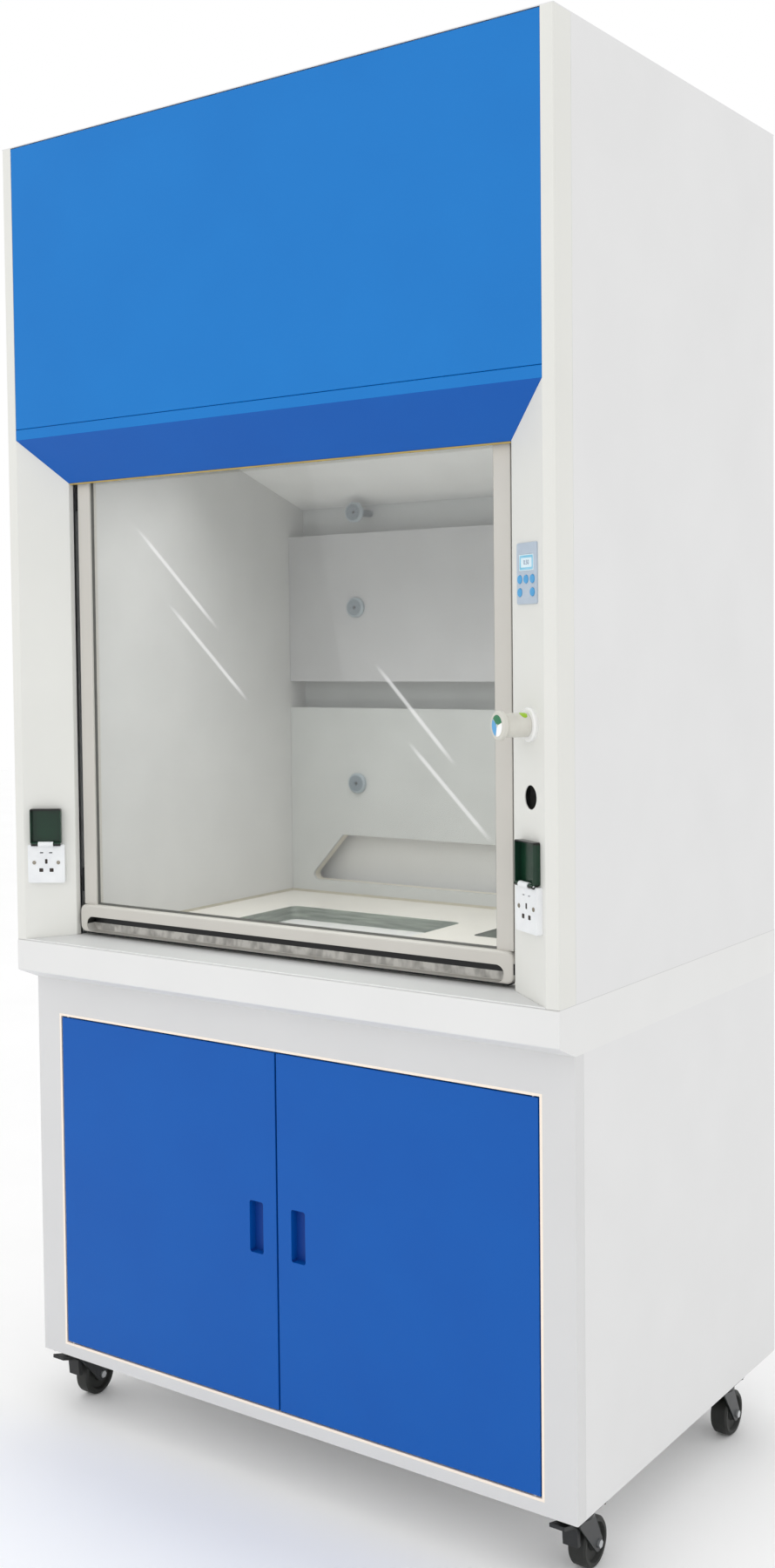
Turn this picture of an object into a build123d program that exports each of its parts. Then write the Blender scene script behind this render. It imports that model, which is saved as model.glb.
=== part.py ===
from build123d import *
import os
from math import asin, cos, hypot, radians, sin

os.makedirs("parts", exist_ok=True)

# Overall size of the body, and the clearances that the fits are made with
body_width = 1040
body_depth = 800
body_height = 2200
sheet = 1.5
fold = 2.5
soft_edge = 1
corner_radius = 6
seam = 0.3
running = 0.05

# Splayed front frame round the opening
front_strip = 20
bevel_width = 75
bevel_depth = 50
bevel_return = 10
lintel_return = 7
corner_wrap = 50
panel_top_margin = 3
bevel_length = hypot(bevel_width, bevel_depth)
bevel_cos = bevel_width / bevel_length
bevel_sin = bevel_depth / bevel_length

# Heights above the floor
cabinet_bottom = 105
slab_bottom = 772
slab_lip = 791
slab_top = 845
slab_edge = 4
worktop_top = 854
head_height = 477
lintel_band = 18
ceiling_rise = 29
ceiling_fall = 132

# Chamber
liner = 6
chamber_front = 95
rear_duct = 60
chamber_slope_start = 330
ceiling_thick = 3
duct_margin = 30
duct_radius = 20
notch_drop = 50
notch_depth = 104
lamp_half = 250
lamp_near = 160
lamp_far = 240
lamp_height = 38
lamp_flange = 15
lamp_radius = 8
lamp_taper = 8

# Worktop board, its recesses and the sink under the right one
board_thick = 25
tray_thick = 3
basin_margin = 125
basin_near = 140
basin_far = 520
basin_radius = 15
sink_margin = 95
sink_width = 185
sink_near = 415
sink_length = 125
divider_width = 80
sink_radius = 12
sink_depth = 125
sink_taper = 6
sink_wall = 4
sink_rim = 10
drain_radius = 20
drain_wall = 3
spigot_length = 30
trap_bend = 36
trap_pitch = 84
trap_overlap = 5
drain_level = 640

# Rear baffles and their fixing discs, with edges and discs as shares of the height they divide
baffle_gap = 52
baffle_thick = 6
lower_share = 0.482
middle_shares = (0.55, 0.926)
slot_rise = 26
slot_height = 93
slot_side = 40
slot_splay = 83
slot_lip = 18
slot_lip_thick = 3
disc_radius = 19.7
disc_thick = 8
disc_stem = 7
disc_dimple = 3
disc_inset = 161
disc_shares = (0.412, 0.5, 0.55)

# Sash
sash_front = 62
sash_thick = 20
sash_bottom = 857
sash_overlap = 35
sash_side_gap = 8
stile_width = 28
top_rail_height = 25
glass_thick = 5
glass_groove = 8
glass_setback = 7
handle_side_gap = 4.5
handle_height = 50
handle_front = 54
handle_depth = 32
handle_radius = 12
finger_end = 15.5
finger_height = 26
finger_depth = 20
finger_drop = 20
seal_height = 3
shoe_width = 12
shoe_length = 40
shoe_reach = 17.5
track_lap = 1
track_depth = 11
track_headroom = 10

# Sash drive: cross shaft, endless belts, idlers and clamps
pulley_radius = 24
pulley_flange = 28
pulley_flange_thick = 1.5
belt_thick = 2
belt_width = 12
belt_gap = 21
belt_front = 92
belt_inner = pulley_radius + seam
belt_outer = belt_inner + belt_thick
drive_depth = belt_front + belt_outer
shaft_drop = 48
idler_drop = 90
shaft_radius = 8
idler_axle = 5
bearing_gap = 16
bearing_thick = 6
bearing_radius = 20
shaft_stub = 4
bracket_width = 46
bracket_height = 76
bracket_back = 10
bracket_thick = 3
stub_head = 8
stub_head_thick = 2
stub_shoulder = 9
gear_half = 32
gear_left = 250
gear_right = 310
motor_radius = 28
motor_length = 125
rib_count = 20
rib_reach = 1.5
rib_thick = 1.6
rib_margin = 20
beam_height = 60
beam_depth = 40
beam_sheet = 3
clamp_drop = 75
clamp_height = 30
clamp_edge = 4
clamp_plate = 3
clamp_overlap = 6

# Fan over the chamber and the exhaust collar in the roof
fan_depth = 480
collar_radius = 125
collar_height = 60
collar_swage = 3
collar_flange = 20
collar_drop = 80
fan_radius = 165
fan_drop = 320
fan_inlet = 90
fan_wall = 2
fan_flange = 20
inlet_rise = 18
cone_rise = 60
shoulder_drop = 70
neck_drop = 10
neck_rise = 20
impeller_radius = 130
impeller_height = 70
impeller_rise = 35
backplate = 3
shroud_inlet = 82
shroud_rise = 18
shroud_thick = 2.2
blade_count = 9
blade_thick = 3
blade_start = 70
blade_sweep = 40
blade_curve = 110
hub_radius = 22
hub_flare = 6
hub_rise = 14
fan_shaft = 7
motor_gap = 4
motor_can = 60
motor_can_height = 80
motor_dome = 12
motor_dome_radius = 33
strut_count = 4
strut_thick = 4
strut_tall = 40
plenum_half = 220
plenum_front = 300

# Fittings on the splayed faces: lines from the face's outer edge, heights as shares of the free post
fitting_line = 40
panel_line = 43
panel_share = 0.7618
valve_share = 0.4955
spare_share = 0.3669
socket_share = 0.1694
panel_width = 56
panel_tall = 85
panel_thick = 3
panel_body = 10
panel_rim = 1
panel_edge = 1.7
panel_radius = 3
panel_chamfer = 0.8
display_rise = 15
display_width = 41
display_tall = 22.5
display_thick = 1.5
display_sunk = 0.2
key_radius = 6
key_gap = 0.3
key_pitch = 18
key_travel = 0.8
key_stand = 1.5
key_dome = 0.8
key_flange = 1.2
key_flange_edge = 1
key_rows = ((-8, (-1, 0, 1)), (-26, (-1, 1)))
board_gap = 3.4
circuit_thick = 1.6
valve_hole = 17
rosette_radius = 24
rosette_thick = 6
rosette_edge = 2
valve_neck = 11
valve_hex = 17
valve_hex_length = 10
valve_back = 45
valve_inlet = 32
inlet_radius = 6
inlet_length = 44
valve_bore_depth = 22
spindle_radius = 4
knob_length = 51
knob_radius = 17
knob_cap_radius = 20.5
knob_cap = 7
knob_step = 3
knob_edge = 2
pipe_radius = 5
pipe_bore = 3.5
pipe_bend = 15
nozzle_radius = 6
nozzle_reach = 32
nozzle_plate = 4
nozzle_flange = 14
pipe_offset = 45
pipe_start = 72
nozzle_share = 0.325
nozzle_depth = 300
socket_width = 64
socket_tall = 66
socket_thick = 8
socket_box = 48
socket_box_depth = 30
socket_radius = 3
slot_depth = 12
hinge_stand = 10
hinge_pin = 1.5
barrel_radius = 4.5
barrel_half = 13
knuckle_radius = 3.5
knuckle_length = 12
lid_width = 54
lid_tall = 60
lid_depth = 11
lid_wall = 2
lid_stand = 0.6

# Cabinet
cabinet_setback = 47
frame_return = 25
frame_lip = 33
door_inset = 56
door_bottom = 128.5
door_top = 708
door_thick = 20
door_skin = 1.2
door_gap = 2.5
door_meeting = 1.5
door_return = 18
pivot_edge = 10
pivot_depth = 6
pivot_radius = 3
pivot_collar = 4.2
pin_length = 20
pull_x = 41
pull_height = 419
pull_width = 27
pull_tall = 84
pull_depth = 15
pull_radius = 4
shelf_height = 430
shelf_front = 250
shelf_edge = 20
shelf_tab_front = 290
shelf_tab_back = 60
tab_reach = 20
floor_upstand = 20

# Casters
caster_inset = 33
caster_front = 105
caster_back = 172
caster_trail = 37
wheel_radius = 37
wheel_width = 28
plate_width = 62
plate_length = 92
plate_thick = 3
race_radius = 22
race_height = 5
crown_radius = 27
crown_thick = 4.7
crown_bottom = cabinet_bottom - plate_thick - race_height - seam - crown_thick
leg_thick = 2.5
leg_gap = 1.5
axle_radius = 4
boss_radius = 12
king_radius = 5
king_head = 9
king_head_thick = 5
bolt_radius = 4
bolt_head = 6.5
bolt_head_thick = 5
pedal_pivot_back = -15
pedal_pivot_height = 85
pedal_pin = 2
pedal_ear = 6
pedal_tip = -58
pedal_width = 24
pedal_pad_height = 50
bolt_x = 22
bolt_y = 39
bolt_stand = 9
leg_top = 19
axle_nut = 4
hub_edge = 11
web_half = 5
tyre_thick = 8
tread_edge = 3

# Where the front face lies, so that the origin is under the middle of the whole outline
knob_front = (knob_length - knob_edge) * bevel_cos + (knob_cap_radius - knob_edge) * bevel_sin + knob_edge
knob_reach = knob_front - fitting_line * bevel_sin
y_front = (knob_reach - body_depth) / 2
y_back = y_front + body_depth
half_width = body_width / 2
strip_x = half_width - front_strip
chamber_half = strip_x - bevel_width
liner_outer = chamber_half + liner
seam_height = body_height - head_height
lintel_bend = seam_height - lintel_band
lintel_foot = lintel_bend - bevel_width
ceiling_height = seam_height + ceiling_rise
ceiling_rear = ceiling_height - ceiling_fall
notch_height = lintel_foot - notch_drop
sash_top = lintel_foot + sash_overlap
sash_height = sash_top - sash_bottom
stile_outer = chamber_half - sash_side_gap
handle_half = chamber_half - handle_side_gap
finger_half = handle_half - finger_end
track_mouth = chamber_half - track_lap
track_web = track_mouth + track_depth
track_top = body_height - track_headroom
belt_x = liner_outer + belt_gap
bearing_x = belt_x + bearing_gap
shaft_end = bearing_x + bearing_thick + shaft_stub
shaft_height = body_height - shaft_drop
idler_height = lintel_foot - idler_drop
clamp_bottom = sash_top - clamp_drop
collar_foot = body_height - collar_drop
fan_bottom = body_height - fan_drop
impeller_bottom = fan_bottom + impeller_rise
chamber_back = body_depth - rear_duct
baffle_front = chamber_back - baffle_gap
y_sash = y_front + sash_front
y_drive = y_front + drive_depth
y_fan = y_front + fan_depth
y_cabinet = y_front + cabinet_setback
y_baffle = y_front + baffle_front
y_chamber_back = y_front + chamber_back
sink_x = chamber_half - sink_margin - sink_width / 2
sink_y = y_front + sink_near + sink_length / 2
basin_left = basin_margin - chamber_half
basin_right = sink_x - sink_width / 2 - divider_width
basin_width = basin_right - basin_left
basin_depth = basin_far - basin_near
basin_middle = ((basin_left + basin_right) / 2, y_front + (basin_near + basin_far) / 2)
rear_span = ceiling_rear - worktop_top
lower_top = worktop_top + lower_share * rear_span
middle_bottom, middle_top = (worktop_top + share * rear_span for share in middle_shares)
slot_bottom = worktop_top + slot_rise
slot_top = slot_bottom + slot_height
slot_half_bottom = chamber_half - slot_side
slot_half_top = slot_half_bottom - slot_splay
ceiling_slope = ceiling_fall / (chamber_back - chamber_slope_start)
ceiling_at_baffle = ceiling_rear + baffle_gap * ceiling_slope
disc_x = chamber_half - disc_inset
disc_heights = (
    slot_top + disc_shares[0] * (lower_top - slot_top),
    middle_bottom + disc_shares[1] * (middle_top - middle_bottom),
    middle_top + disc_shares[2] * (ceiling_at_baffle - middle_top),
)
post_span = lintel_foot - slab_top
panel_height = slab_top + panel_share * post_span
display_height = panel_height + display_rise
valve_height = slab_top + valve_share * post_span
spare_height = slab_top + spare_share * post_span
socket_height = slab_top + socket_share * post_span
nozzle_height = slab_top + nozzle_share * post_span
pipe_x = chamber_half + pipe_offset
pivot_x = half_width - door_inset - door_gap - pivot_edge
y_pivot = y_cabinet + pivot_depth
rim_width = panel_width - 2 * panel_edge
rim_tall = panel_tall - 2 * panel_edge
shelf_tabs = (shelf_tab_front, body_depth - shelf_tab_back)
caster_x = half_width - caster_inset
caster_rear = body_depth - caster_back
caster_places = (
    (-caster_x, caster_front),
    (caster_x, caster_front),
    (-caster_x, caster_rear),
    (caster_x, caster_rear),
)


def hand_over(piece, name):
    piece.part.label = name
    export_step(piece.part, f"parts/{name}.step")


def facing_front(y):
    return Plane(origin=(0, y, 0), x_dir=(1, 0, 0), z_dir=(0, -1, 0))


def bent(points, side=Side.LEFT, thickness=sheet, radius=fold):
    with BuildLine() as path:
        FilletPolyline(*points, radius=radius)
        offset(amount=thickness, side=side)
    return path.edges()


def splayed(hand, along):
    # Plane on the outer face of a splayed post: x runs across it, y up from the floor
    origin = (hand * (strip_x - along * bevel_cos), y_front + along * bevel_sin, 0)
    across = (bevel_cos, -hand * bevel_sin, 0)
    outward = (-hand * bevel_sin, -bevel_cos, 0)
    return Plane(origin=origin, x_dir=across, z_dir=outward)


# Corner posts: wrapped corner, flat strip, splayed face and return, mitred under the lintel
with BuildPart() as corner_posts:
    for hand, side in ((1, Side.RIGHT), (-1, Side.LEFT)):
        wrap = (hand * half_width, y_front + corner_wrap)
        corner = (hand * half_width, y_front)
        strip = (hand * strip_x, y_front)
        inner = (hand * chamber_half, y_front + bevel_depth)
        tail = (hand * chamber_half, y_front + bevel_depth + bevel_return)
        with BuildSketch(Plane.XY.offset(slab_top)):
            make_face(bent((wrap, corner, strip, inner, tail), side))
        extrude(amount=lintel_bend - slab_top)
        with BuildSketch(facing_front(y_front - sheet)):
            with BuildLine():
                Polyline(
                    (hand * strip_x, lintel_bend),
                    (hand * chamber_half, lintel_foot),
                    (hand * (chamber_half - sheet), lintel_foot),
                    (hand * (chamber_half - sheet), lintel_bend + sheet),
                    (hand * strip_x, lintel_bend + sheet),
                    close=True,
                )
            make_face()
        extrude(amount=-(bevel_depth + bevel_return + 2 * sheet), mode=Mode.SUBTRACT)
        with BuildSketch(Plane.XY.offset(lintel_bend)):
            make_face(bent((wrap, corner, (hand * strip_x, y_front)), side))
        extrude(amount=body_height - sheet - lintel_bend)
    # Openings for the panel, the valve, a second valve and the two socket boxes
    with BuildSketch(splayed(1, panel_line)):
        with Locations((0, panel_height)):
            Rectangle(rim_width + 2 * seam, rim_tall + 2 * seam)
    extrude(amount=-2 * sheet, mode=Mode.SUBTRACT)
    with BuildSketch(splayed(1, fitting_line)):
        with Locations((0, valve_height)):
            Circle(valve_neck + seam)
        with Locations((0, spare_height)):
            Circle(valve_hole)
    extrude(amount=-2 * sheet, mode=Mode.SUBTRACT)
    for hand in (1, -1):
        with BuildSketch(splayed(hand, fitting_line)):
            with Locations((0, socket_height)):
                Rectangle(socket_box + 2 * seam, socket_box + 2 * seam)
        extrude(amount=-2 * sheet, mode=Mode.SUBTRACT)
hand_over(corner_posts, "corner_posts")

# Side skins behind the posts, returned at the back
with BuildPart() as side_skins:
    for hand, side in ((1, Side.LEFT), (-1, Side.RIGHT)):
        with BuildSketch(Plane.XY.offset(slab_top)):
            start = (hand * half_width, y_front + corner_wrap + seam)
            corner = (hand * half_width, y_back)
            make_face(bent((start, corner, (hand * (half_width - frame_return), y_back)), side))
        extrude(amount=body_height - sheet - slab_top)
hand_over(side_skins, "side_skins")

# Removable rear skins behind the returns, the lower one with the drain's hole
with BuildPart() as rear_skins:
    with BuildSketch(facing_front(y_back - 2 * sheet)):
        with Locations((0, (slab_top + body_height - sheet) / 2)):
            Rectangle(body_width - 4 * sheet, body_height - sheet - slab_top)
        with Locations((0, (cabinet_bottom + slab_bottom) / 2)):
            Rectangle(body_width - 4 * sheet, slab_bottom - cabinet_bottom)
        with Locations((sink_x, drain_level)):
            Circle(drain_radius + seam, mode=Mode.SUBTRACT)
    extrude(amount=-sheet)
hand_over(rear_skins, "rear_skins")

# Roof with the collar's hole and a swaged ring round it
with BuildPart() as roof:
    with BuildSketch(Plane.XY.offset(body_height - sheet)):
        with Locations((0, (y_front + y_back) / 2)):
            Rectangle(body_width, body_depth)
        with Locations((0, y_fan)):
            Circle(collar_radius - collar_swage + seam, mode=Mode.SUBTRACT)
    extrude(amount=sheet)
hand_over(roof, "roof")

# Blue access panel: a pan with folded edges, open behind
with BuildPart() as access_panel:
    with BuildSketch(facing_front(y_front)):
        with Locations((0, (seam_height + seam + body_height - panel_top_margin) / 2)):
            Rectangle(2 * strip_x - 2 * seam, body_height - panel_top_margin - seam_height - seam)
    extrude(amount=-front_strip)
    fillet(access_panel.edges().group_by(Axis.Y)[0], radius=soft_edge)
    offset(amount=-sheet, openings=access_panel.faces().sort_by(Axis.Y)[-1])
hand_over(access_panel, "access_panel")

# Lintel: flat band, bevel and return, mitred against the posts
with BuildPart() as lintel:
    with BuildSketch(Plane.YZ.offset(seam - strip_x)):
        path = (
            (y_front + frame_return, seam_height),
            (y_front, seam_height),
            (y_front, lintel_bend),
            (y_front + bevel_depth, lintel_foot),
            (y_front + bevel_depth + lintel_return, lintel_foot),
            (y_front + bevel_depth + lintel_return, lintel_foot + front_strip),
        )
        make_face(bent(path, Side.LEFT))
    extrude(amount=2 * (strip_x - seam))
    with BuildSketch(facing_front(y_front - sheet)):
        for hand in (1, -1):
            with BuildLine():
                Polyline(
                    (hand * (strip_x - seam), lintel_bend),
                    (hand * (chamber_half - seam), lintel_foot),
                    (hand * (chamber_half - seam), lintel_foot - sheet),
                    (hand * half_width, lintel_foot - sheet),
                    (hand * half_width, lintel_bend),
                    close=True,
                )
            make_face()
    extrude(amount=-(bevel_depth + front_strip), mode=Mode.SUBTRACT)
hand_over(lintel, "lintel")

# Base slab: a hollow tray body with a sloped front underside and the worktop's seat
with BuildPart() as base_slab:
    with BuildSketch(Plane.YZ.offset(-half_width)):
        with BuildLine():
            Polyline(
                (y_front, slab_lip),
                (y_front, slab_top),
                (y_back, slab_top),
                (y_back, slab_bottom),
                (y_cabinet, slab_bottom),
                close=True,
            )
        make_face()
    extrude(amount=body_width)
    fillet(base_slab.edges().filter_by(Axis.X).group_by(Axis.Y)[0], radius=slab_edge)
    offset(amount=-sheet, openings=base_slab.faces().filter_by(Axis.Z).sort_by(Axis.Z)[0])
    window_middle = y_front + (chamber_front + baffle_front) / 2
    window_depth = baffle_front - chamber_front
    with BuildSketch(Plane.XY.offset(slab_top - 2 * sheet)):
        with Locations((0, window_middle)):
            Rectangle(2 * chamber_half, window_depth)
    extrude(amount=3 * sheet, mode=Mode.SUBTRACT)
    seat_height = worktop_top - board_thick
    with BuildSketch(Plane.XY.offset(seat_height - sheet)):
        with Locations((0, window_middle)):
            Rectangle(2 * (chamber_half + sheet), window_depth + 2 * sheet)
            Rectangle(2 * chamber_half, window_depth, mode=Mode.SUBTRACT)
    extrude(amount=slab_top - seat_height)
    with BuildSketch(Plane.XY.offset(seat_height - sheet)):
        with Locations((0, window_middle)):
            Rectangle(2 * (chamber_half + sheet), window_depth + 2 * sheet)
            Rectangle(2 * (chamber_half - front_strip), window_depth - 2 * front_strip, mode=Mode.SUBTRACT)
    extrude(amount=sheet)
hand_over(base_slab, "base_slab")

# Sill between the posts, sloping up from the front edge to the sash
with BuildPart() as sill:
    with BuildSketch(Plane.YZ.offset(-half_width)):
        with BuildLine():
            Polyline(
                (y_front + seam, slab_top),
                (y_front + seam, slab_top + sheet),
                (y_front + bevel_depth, worktop_top),
                (y_front + chamber_front, worktop_top),
                (y_front + chamber_front, slab_top),
                close=True,
            )
        make_face()
    extrude(amount=body_width)
    with BuildSketch(Plane.XY.offset(slab_top)):
        with BuildLine():
            Polyline(
                (strip_x - 2 * seam, y_front),
                (track_mouth - seam, y_front + bevel_depth),
                (track_mouth - seam, y_front + chamber_front),
                (seam - track_mouth, y_front + chamber_front),
                (seam - track_mouth, y_front + bevel_depth),
                (2 * seam - strip_x, y_front),
                close=True,
            )
        make_face()
    extrude(amount=worktop_top - slab_top, mode=Mode.INTERSECT)
hand_over(sill, "sill")

# Worktop board with a shallow basin and a sink opening
with BuildPart() as worktop_board:
    with BuildSketch(Plane.XY.offset(worktop_top - board_thick)):
        with Locations((0, window_middle)):
            Rectangle(2 * (chamber_half - seam), window_depth - 2 * seam)
        with Locations(basin_middle):
            RectangleRounded(basin_width, basin_depth, basin_radius, mode=Mode.SUBTRACT)
        with Locations((sink_x, sink_y)):
            RectangleRounded(sink_width, sink_length, sink_radius, mode=Mode.SUBTRACT)
    extrude(amount=board_thick)
hand_over(worktop_board, "worktop_board")

# Basins under the board: a flat tray, then a tapered sink bowl with its rim, spigot and trap
sink_floor = worktop_top - board_thick - sink_depth
with BuildPart() as basins:
    with BuildSketch(Plane.XY.offset(worktop_top - board_thick - tray_thick)):
        with Locations(basin_middle):
            RectangleRounded(basin_width + 2 * sink_rim, basin_depth + 2 * sink_rim, basin_radius)
    extrude(amount=tray_thick)
    with BuildSketch(Plane.XY.offset(worktop_top - board_thick)):
        with Locations((sink_x, sink_y)):
            RectangleRounded(sink_width, sink_length, sink_radius)
    extrude(amount=-sink_depth, taper=sink_taper)
    fillet(basins.faces().sort_by(Axis.Z)[0].edges(), radius=sink_radius / 2)
    with BuildSketch(Plane.XY.offset(worktop_top - board_thick)):
        with Locations((sink_x, sink_y)):
            RectangleRounded(
                sink_width - 2 * sink_wall,
                sink_length - 2 * sink_wall,
                sink_radius - sink_wall,
            )
    extrude(amount=sink_wall - sink_depth, taper=sink_taper, mode=Mode.SUBTRACT)
    with BuildSketch(Plane.XY.offset(worktop_top - board_thick - sink_wall)):
        with Locations((sink_x, sink_y)):
            RectangleRounded(
                sink_width + 2 * sink_rim,
                sink_length + 2 * sink_rim,
                sink_radius,
            )
            RectangleRounded(
                sink_width - sink_wall,
                sink_length - sink_wall,
                sink_radius - sink_wall / 2,
                mode=Mode.SUBTRACT,
            )
    extrude(amount=sink_wall)
    with BuildSketch(Plane.XY.offset(sink_floor - spigot_length)):
        with Locations((sink_x, sink_y)):
            Circle(drain_radius - drain_wall - seam)
    extrude(amount=spigot_length + sink_wall)
    with BuildSketch(Plane.XY.offset(sink_floor - spigot_length)):
        with Locations((sink_x, sink_y)):
            Circle(drain_radius - 2 * drain_wall)
    extrude(amount=spigot_length + sink_wall, mode=Mode.SUBTRACT)
    trap_plane = Plane(origin=(sink_x, 0, 0), x_dir=(0, 1, 0), z_dir=(1, 0, 0))
    with BuildLine(trap_plane) as trap_path:
        FilletPolyline(
            (sink_y, sink_floor - trap_overlap),
            (sink_y, drain_level - trap_pitch),
            (sink_y + trap_pitch, drain_level - trap_pitch),
            (sink_y + trap_pitch, drain_level),
            (y_back - sheet / 2, drain_level),
            radius=trap_bend,
        )
    with BuildSketch(Plane.XY.offset(sink_floor - trap_overlap)):
        with Locations((sink_x, sink_y)):
            Circle(drain_radius)
            Circle(drain_radius - drain_wall, mode=Mode.SUBTRACT)
    sweep(path=trap_path.wires()[0])
hand_over(basins, "basins")

# Side liners, notched at the front for the belt clamps
with BuildPart() as side_liners:
    liner_front = y_sash + sash_thick
    for hand in (1, -1):
        with BuildSketch(Plane.YZ.offset(hand * chamber_half)):
            with BuildLine():
                Polyline(
                    (liner_front, slab_top),
                    (liner_front, notch_height),
                    (y_front + notch_depth, notch_height),
                    (y_front + notch_depth, ceiling_height + front_strip),
                    (y_chamber_back - seam, ceiling_height + front_strip),
                    (y_chamber_back - seam, slab_top),
                    close=True,
                )
            make_face()
            # Hole for the pipe's end
            if hand == 1:
                with Locations((y_front + nozzle_depth, nozzle_height)):
                    Circle(pipe_radius + seam, mode=Mode.SUBTRACT)
        extrude(amount=hand * liner)
hand_over(side_liners, "side_liners")

# Back liner with the duct window behind the middle baffle and the discs' holes
with BuildPart() as back_liner:
    with BuildSketch(facing_front(y_chamber_back)):
        with Locations((0, (slab_top + ceiling_height + ceiling_thick) / 2)):
            Rectangle(2 * (chamber_half + liner), ceiling_height + ceiling_thick - slab_top)
        with Locations((0, (middle_bottom + middle_top) / 2)):
            RectangleRounded(
                2 * plenum_half,
                middle_top - middle_bottom - 2 * duct_margin,
                duct_radius,
                mode=Mode.SUBTRACT,
            )
    extrude(amount=-liner)
hand_over(back_liner, "back_liner")

# Ceiling panel: turned-up front, flat with the lamp's window, then sloped down to the back
with BuildPart() as ceiling_panel:
    with BuildSketch(Plane.YZ.offset(seam - chamber_half)):
        path = (
            (y_front + notch_depth, ceiling_height + frame_return),
            (y_front + notch_depth, ceiling_height),
            (y_front + chamber_slope_start, ceiling_height),
            (y_chamber_back - ceiling_thick, ceiling_rear),
        )
        make_face(bent(path, Side.LEFT, ceiling_thick, ceiling_thick + soft_edge))
    extrude(amount=2 * (chamber_half - seam))
    lamp_middle = y_front + (lamp_near + lamp_far) / 2
    with BuildSketch(Plane.XY.offset(ceiling_height)):
        with Locations((0, lamp_middle)):
            RectangleRounded(2 * lamp_half, lamp_far - lamp_near, lamp_radius)
    extrude(amount=ceiling_thick, mode=Mode.SUBTRACT)
hand_over(ceiling_panel, "ceiling_panel")

# Lamp: a housing over the window and a lens in it
with BuildPart() as lamp:
    with BuildSketch(Plane.XY.offset(ceiling_height + ceiling_thick)):
        with Locations((0, lamp_middle)):
            RectangleRounded(
                2 * (lamp_half + lamp_flange),
                lamp_far - lamp_near + 2 * lamp_flange,
                lamp_radius + sheet,
            )
    extrude(amount=lamp_height, taper=lamp_taper)
    offset(amount=-sheet, openings=lamp.faces().sort_by(Axis.Z)[0])
    with BuildSketch(Plane.XY.offset(ceiling_height)):
        with Locations((0, lamp_middle)):
            RectangleRounded(2 * (lamp_half - seam), lamp_far - lamp_near - 2 * seam, lamp_radius - seam)
    extrude(amount=ceiling_thick - seam)
hand_over(lamp, "lamp")

# Rear baffles: a flat middle one, and a lower one with a lipped tapered slot
with BuildPart() as rear_baffles:
    with BuildSketch(facing_front(y_baffle)):
        with Locations((0, (middle_bottom + middle_top) / 2)):
            Rectangle(2 * (chamber_half - 2 * seam), middle_top - middle_bottom)
        with Locations((0, (slab_top + seam + lower_top) / 2)):
            Rectangle(2 * (chamber_half - 2 * seam), lower_top - slab_top - seam)
        with Locations(*[(x, z) for x in (-disc_x, disc_x) for z in disc_heights[:2]]):
            Circle(disc_stem + seam, mode=Mode.SUBTRACT)
    extrude(amount=-baffle_thick)
    slot_corners = (
        (-slot_half_bottom, slot_bottom),
        (-slot_half_top, slot_top),
        (slot_half_top, slot_top),
        (slot_half_bottom, slot_bottom),
    )
    with BuildSketch(facing_front(y_baffle)) as slot_outline:
        with BuildLine():
            FilletPolyline(*slot_corners, radius=10, close=True)
        make_face()
    extrude(amount=-baffle_thick, mode=Mode.SUBTRACT)
    with BuildSketch(facing_front(y_baffle + 1)):
        with BuildLine() as slot_line:
            FilletPolyline(*slot_corners, radius=10, close=True)
            offset(amount=slot_lip_thick)
        make_face()
        with BuildLine():
            FilletPolyline(*slot_corners, radius=10, close=True)
        make_face(mode=Mode.SUBTRACT)
    extrude(amount=-(baffle_thick + slot_lip - 1))
hand_over(rear_baffles, "rear_baffles")

# Fixing discs: a dimpled head in front of the baffle on a stem from the back liner
with BuildPart() as fixing_discs:
    for x in (-disc_x, disc_x):
        for z in disc_heights:
            centre = Plane(origin=(x, y_baffle, z), x_dir=(0, -1, 0), z_dir=(1, 0, 0))
            with BuildSketch(centre):
                with BuildLine():
                    Polyline(
                        (disc_thick - disc_dimple, 0),
                        (disc_thick - disc_dimple, disc_dimple),
                        (disc_thick, disc_dimple + soft_edge),
                        (disc_thick, disc_radius - disc_dimple),
                        (disc_thick - disc_dimple, disc_radius),
                        (0, disc_radius),
                        (0, disc_stem),
                        (baffle_front - chamber_back, disc_stem),
                        (baffle_front - chamber_back, 0),
                        close=True,
                    )
                make_face()
            revolve(axis=Axis((x, y_baffle, z), (0, 1, 0)))
hand_over(fixing_discs, "fixing_discs")

# Guide tracks for the sash, a channel each side
track_half = shoe_width / 2 + seam
y_track = y_sash + sash_thick / 2
with BuildPart() as guide_tracks:
    for hand, side in ((1, Side.RIGHT), (-1, Side.LEFT)):
        with BuildSketch(Plane.XY.offset(slab_top)):
            channel = (
                (hand * track_mouth, y_track - track_half),
                (hand * track_web, y_track - track_half),
                (hand * track_web, y_track + track_half),
                (hand * track_mouth, y_track + track_half),
            )
            make_face(bent(channel, side, sheet, 1))
        extrude(amount=track_top - slab_top)
hand_over(guide_tracks, "guide_tracks")

# Sash pane
sash_rail_top = sash_bottom + handle_height
pane_half = stile_outer - stile_width + glass_groove
pane_height = sash_top - top_rail_height - sash_rail_top + 2 * (glass_groove - seam)
with BuildPart() as sash_glass:
    with BuildSketch(facing_front(y_sash + glass_setback)):
        with Locations((0, (sash_rail_top + sash_top - top_rail_height) / 2)):
            Rectangle(2 * (pane_half - seam), pane_height)
    extrude(amount=-glass_thick)
hand_over(sash_glass, "sash_glass")

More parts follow.
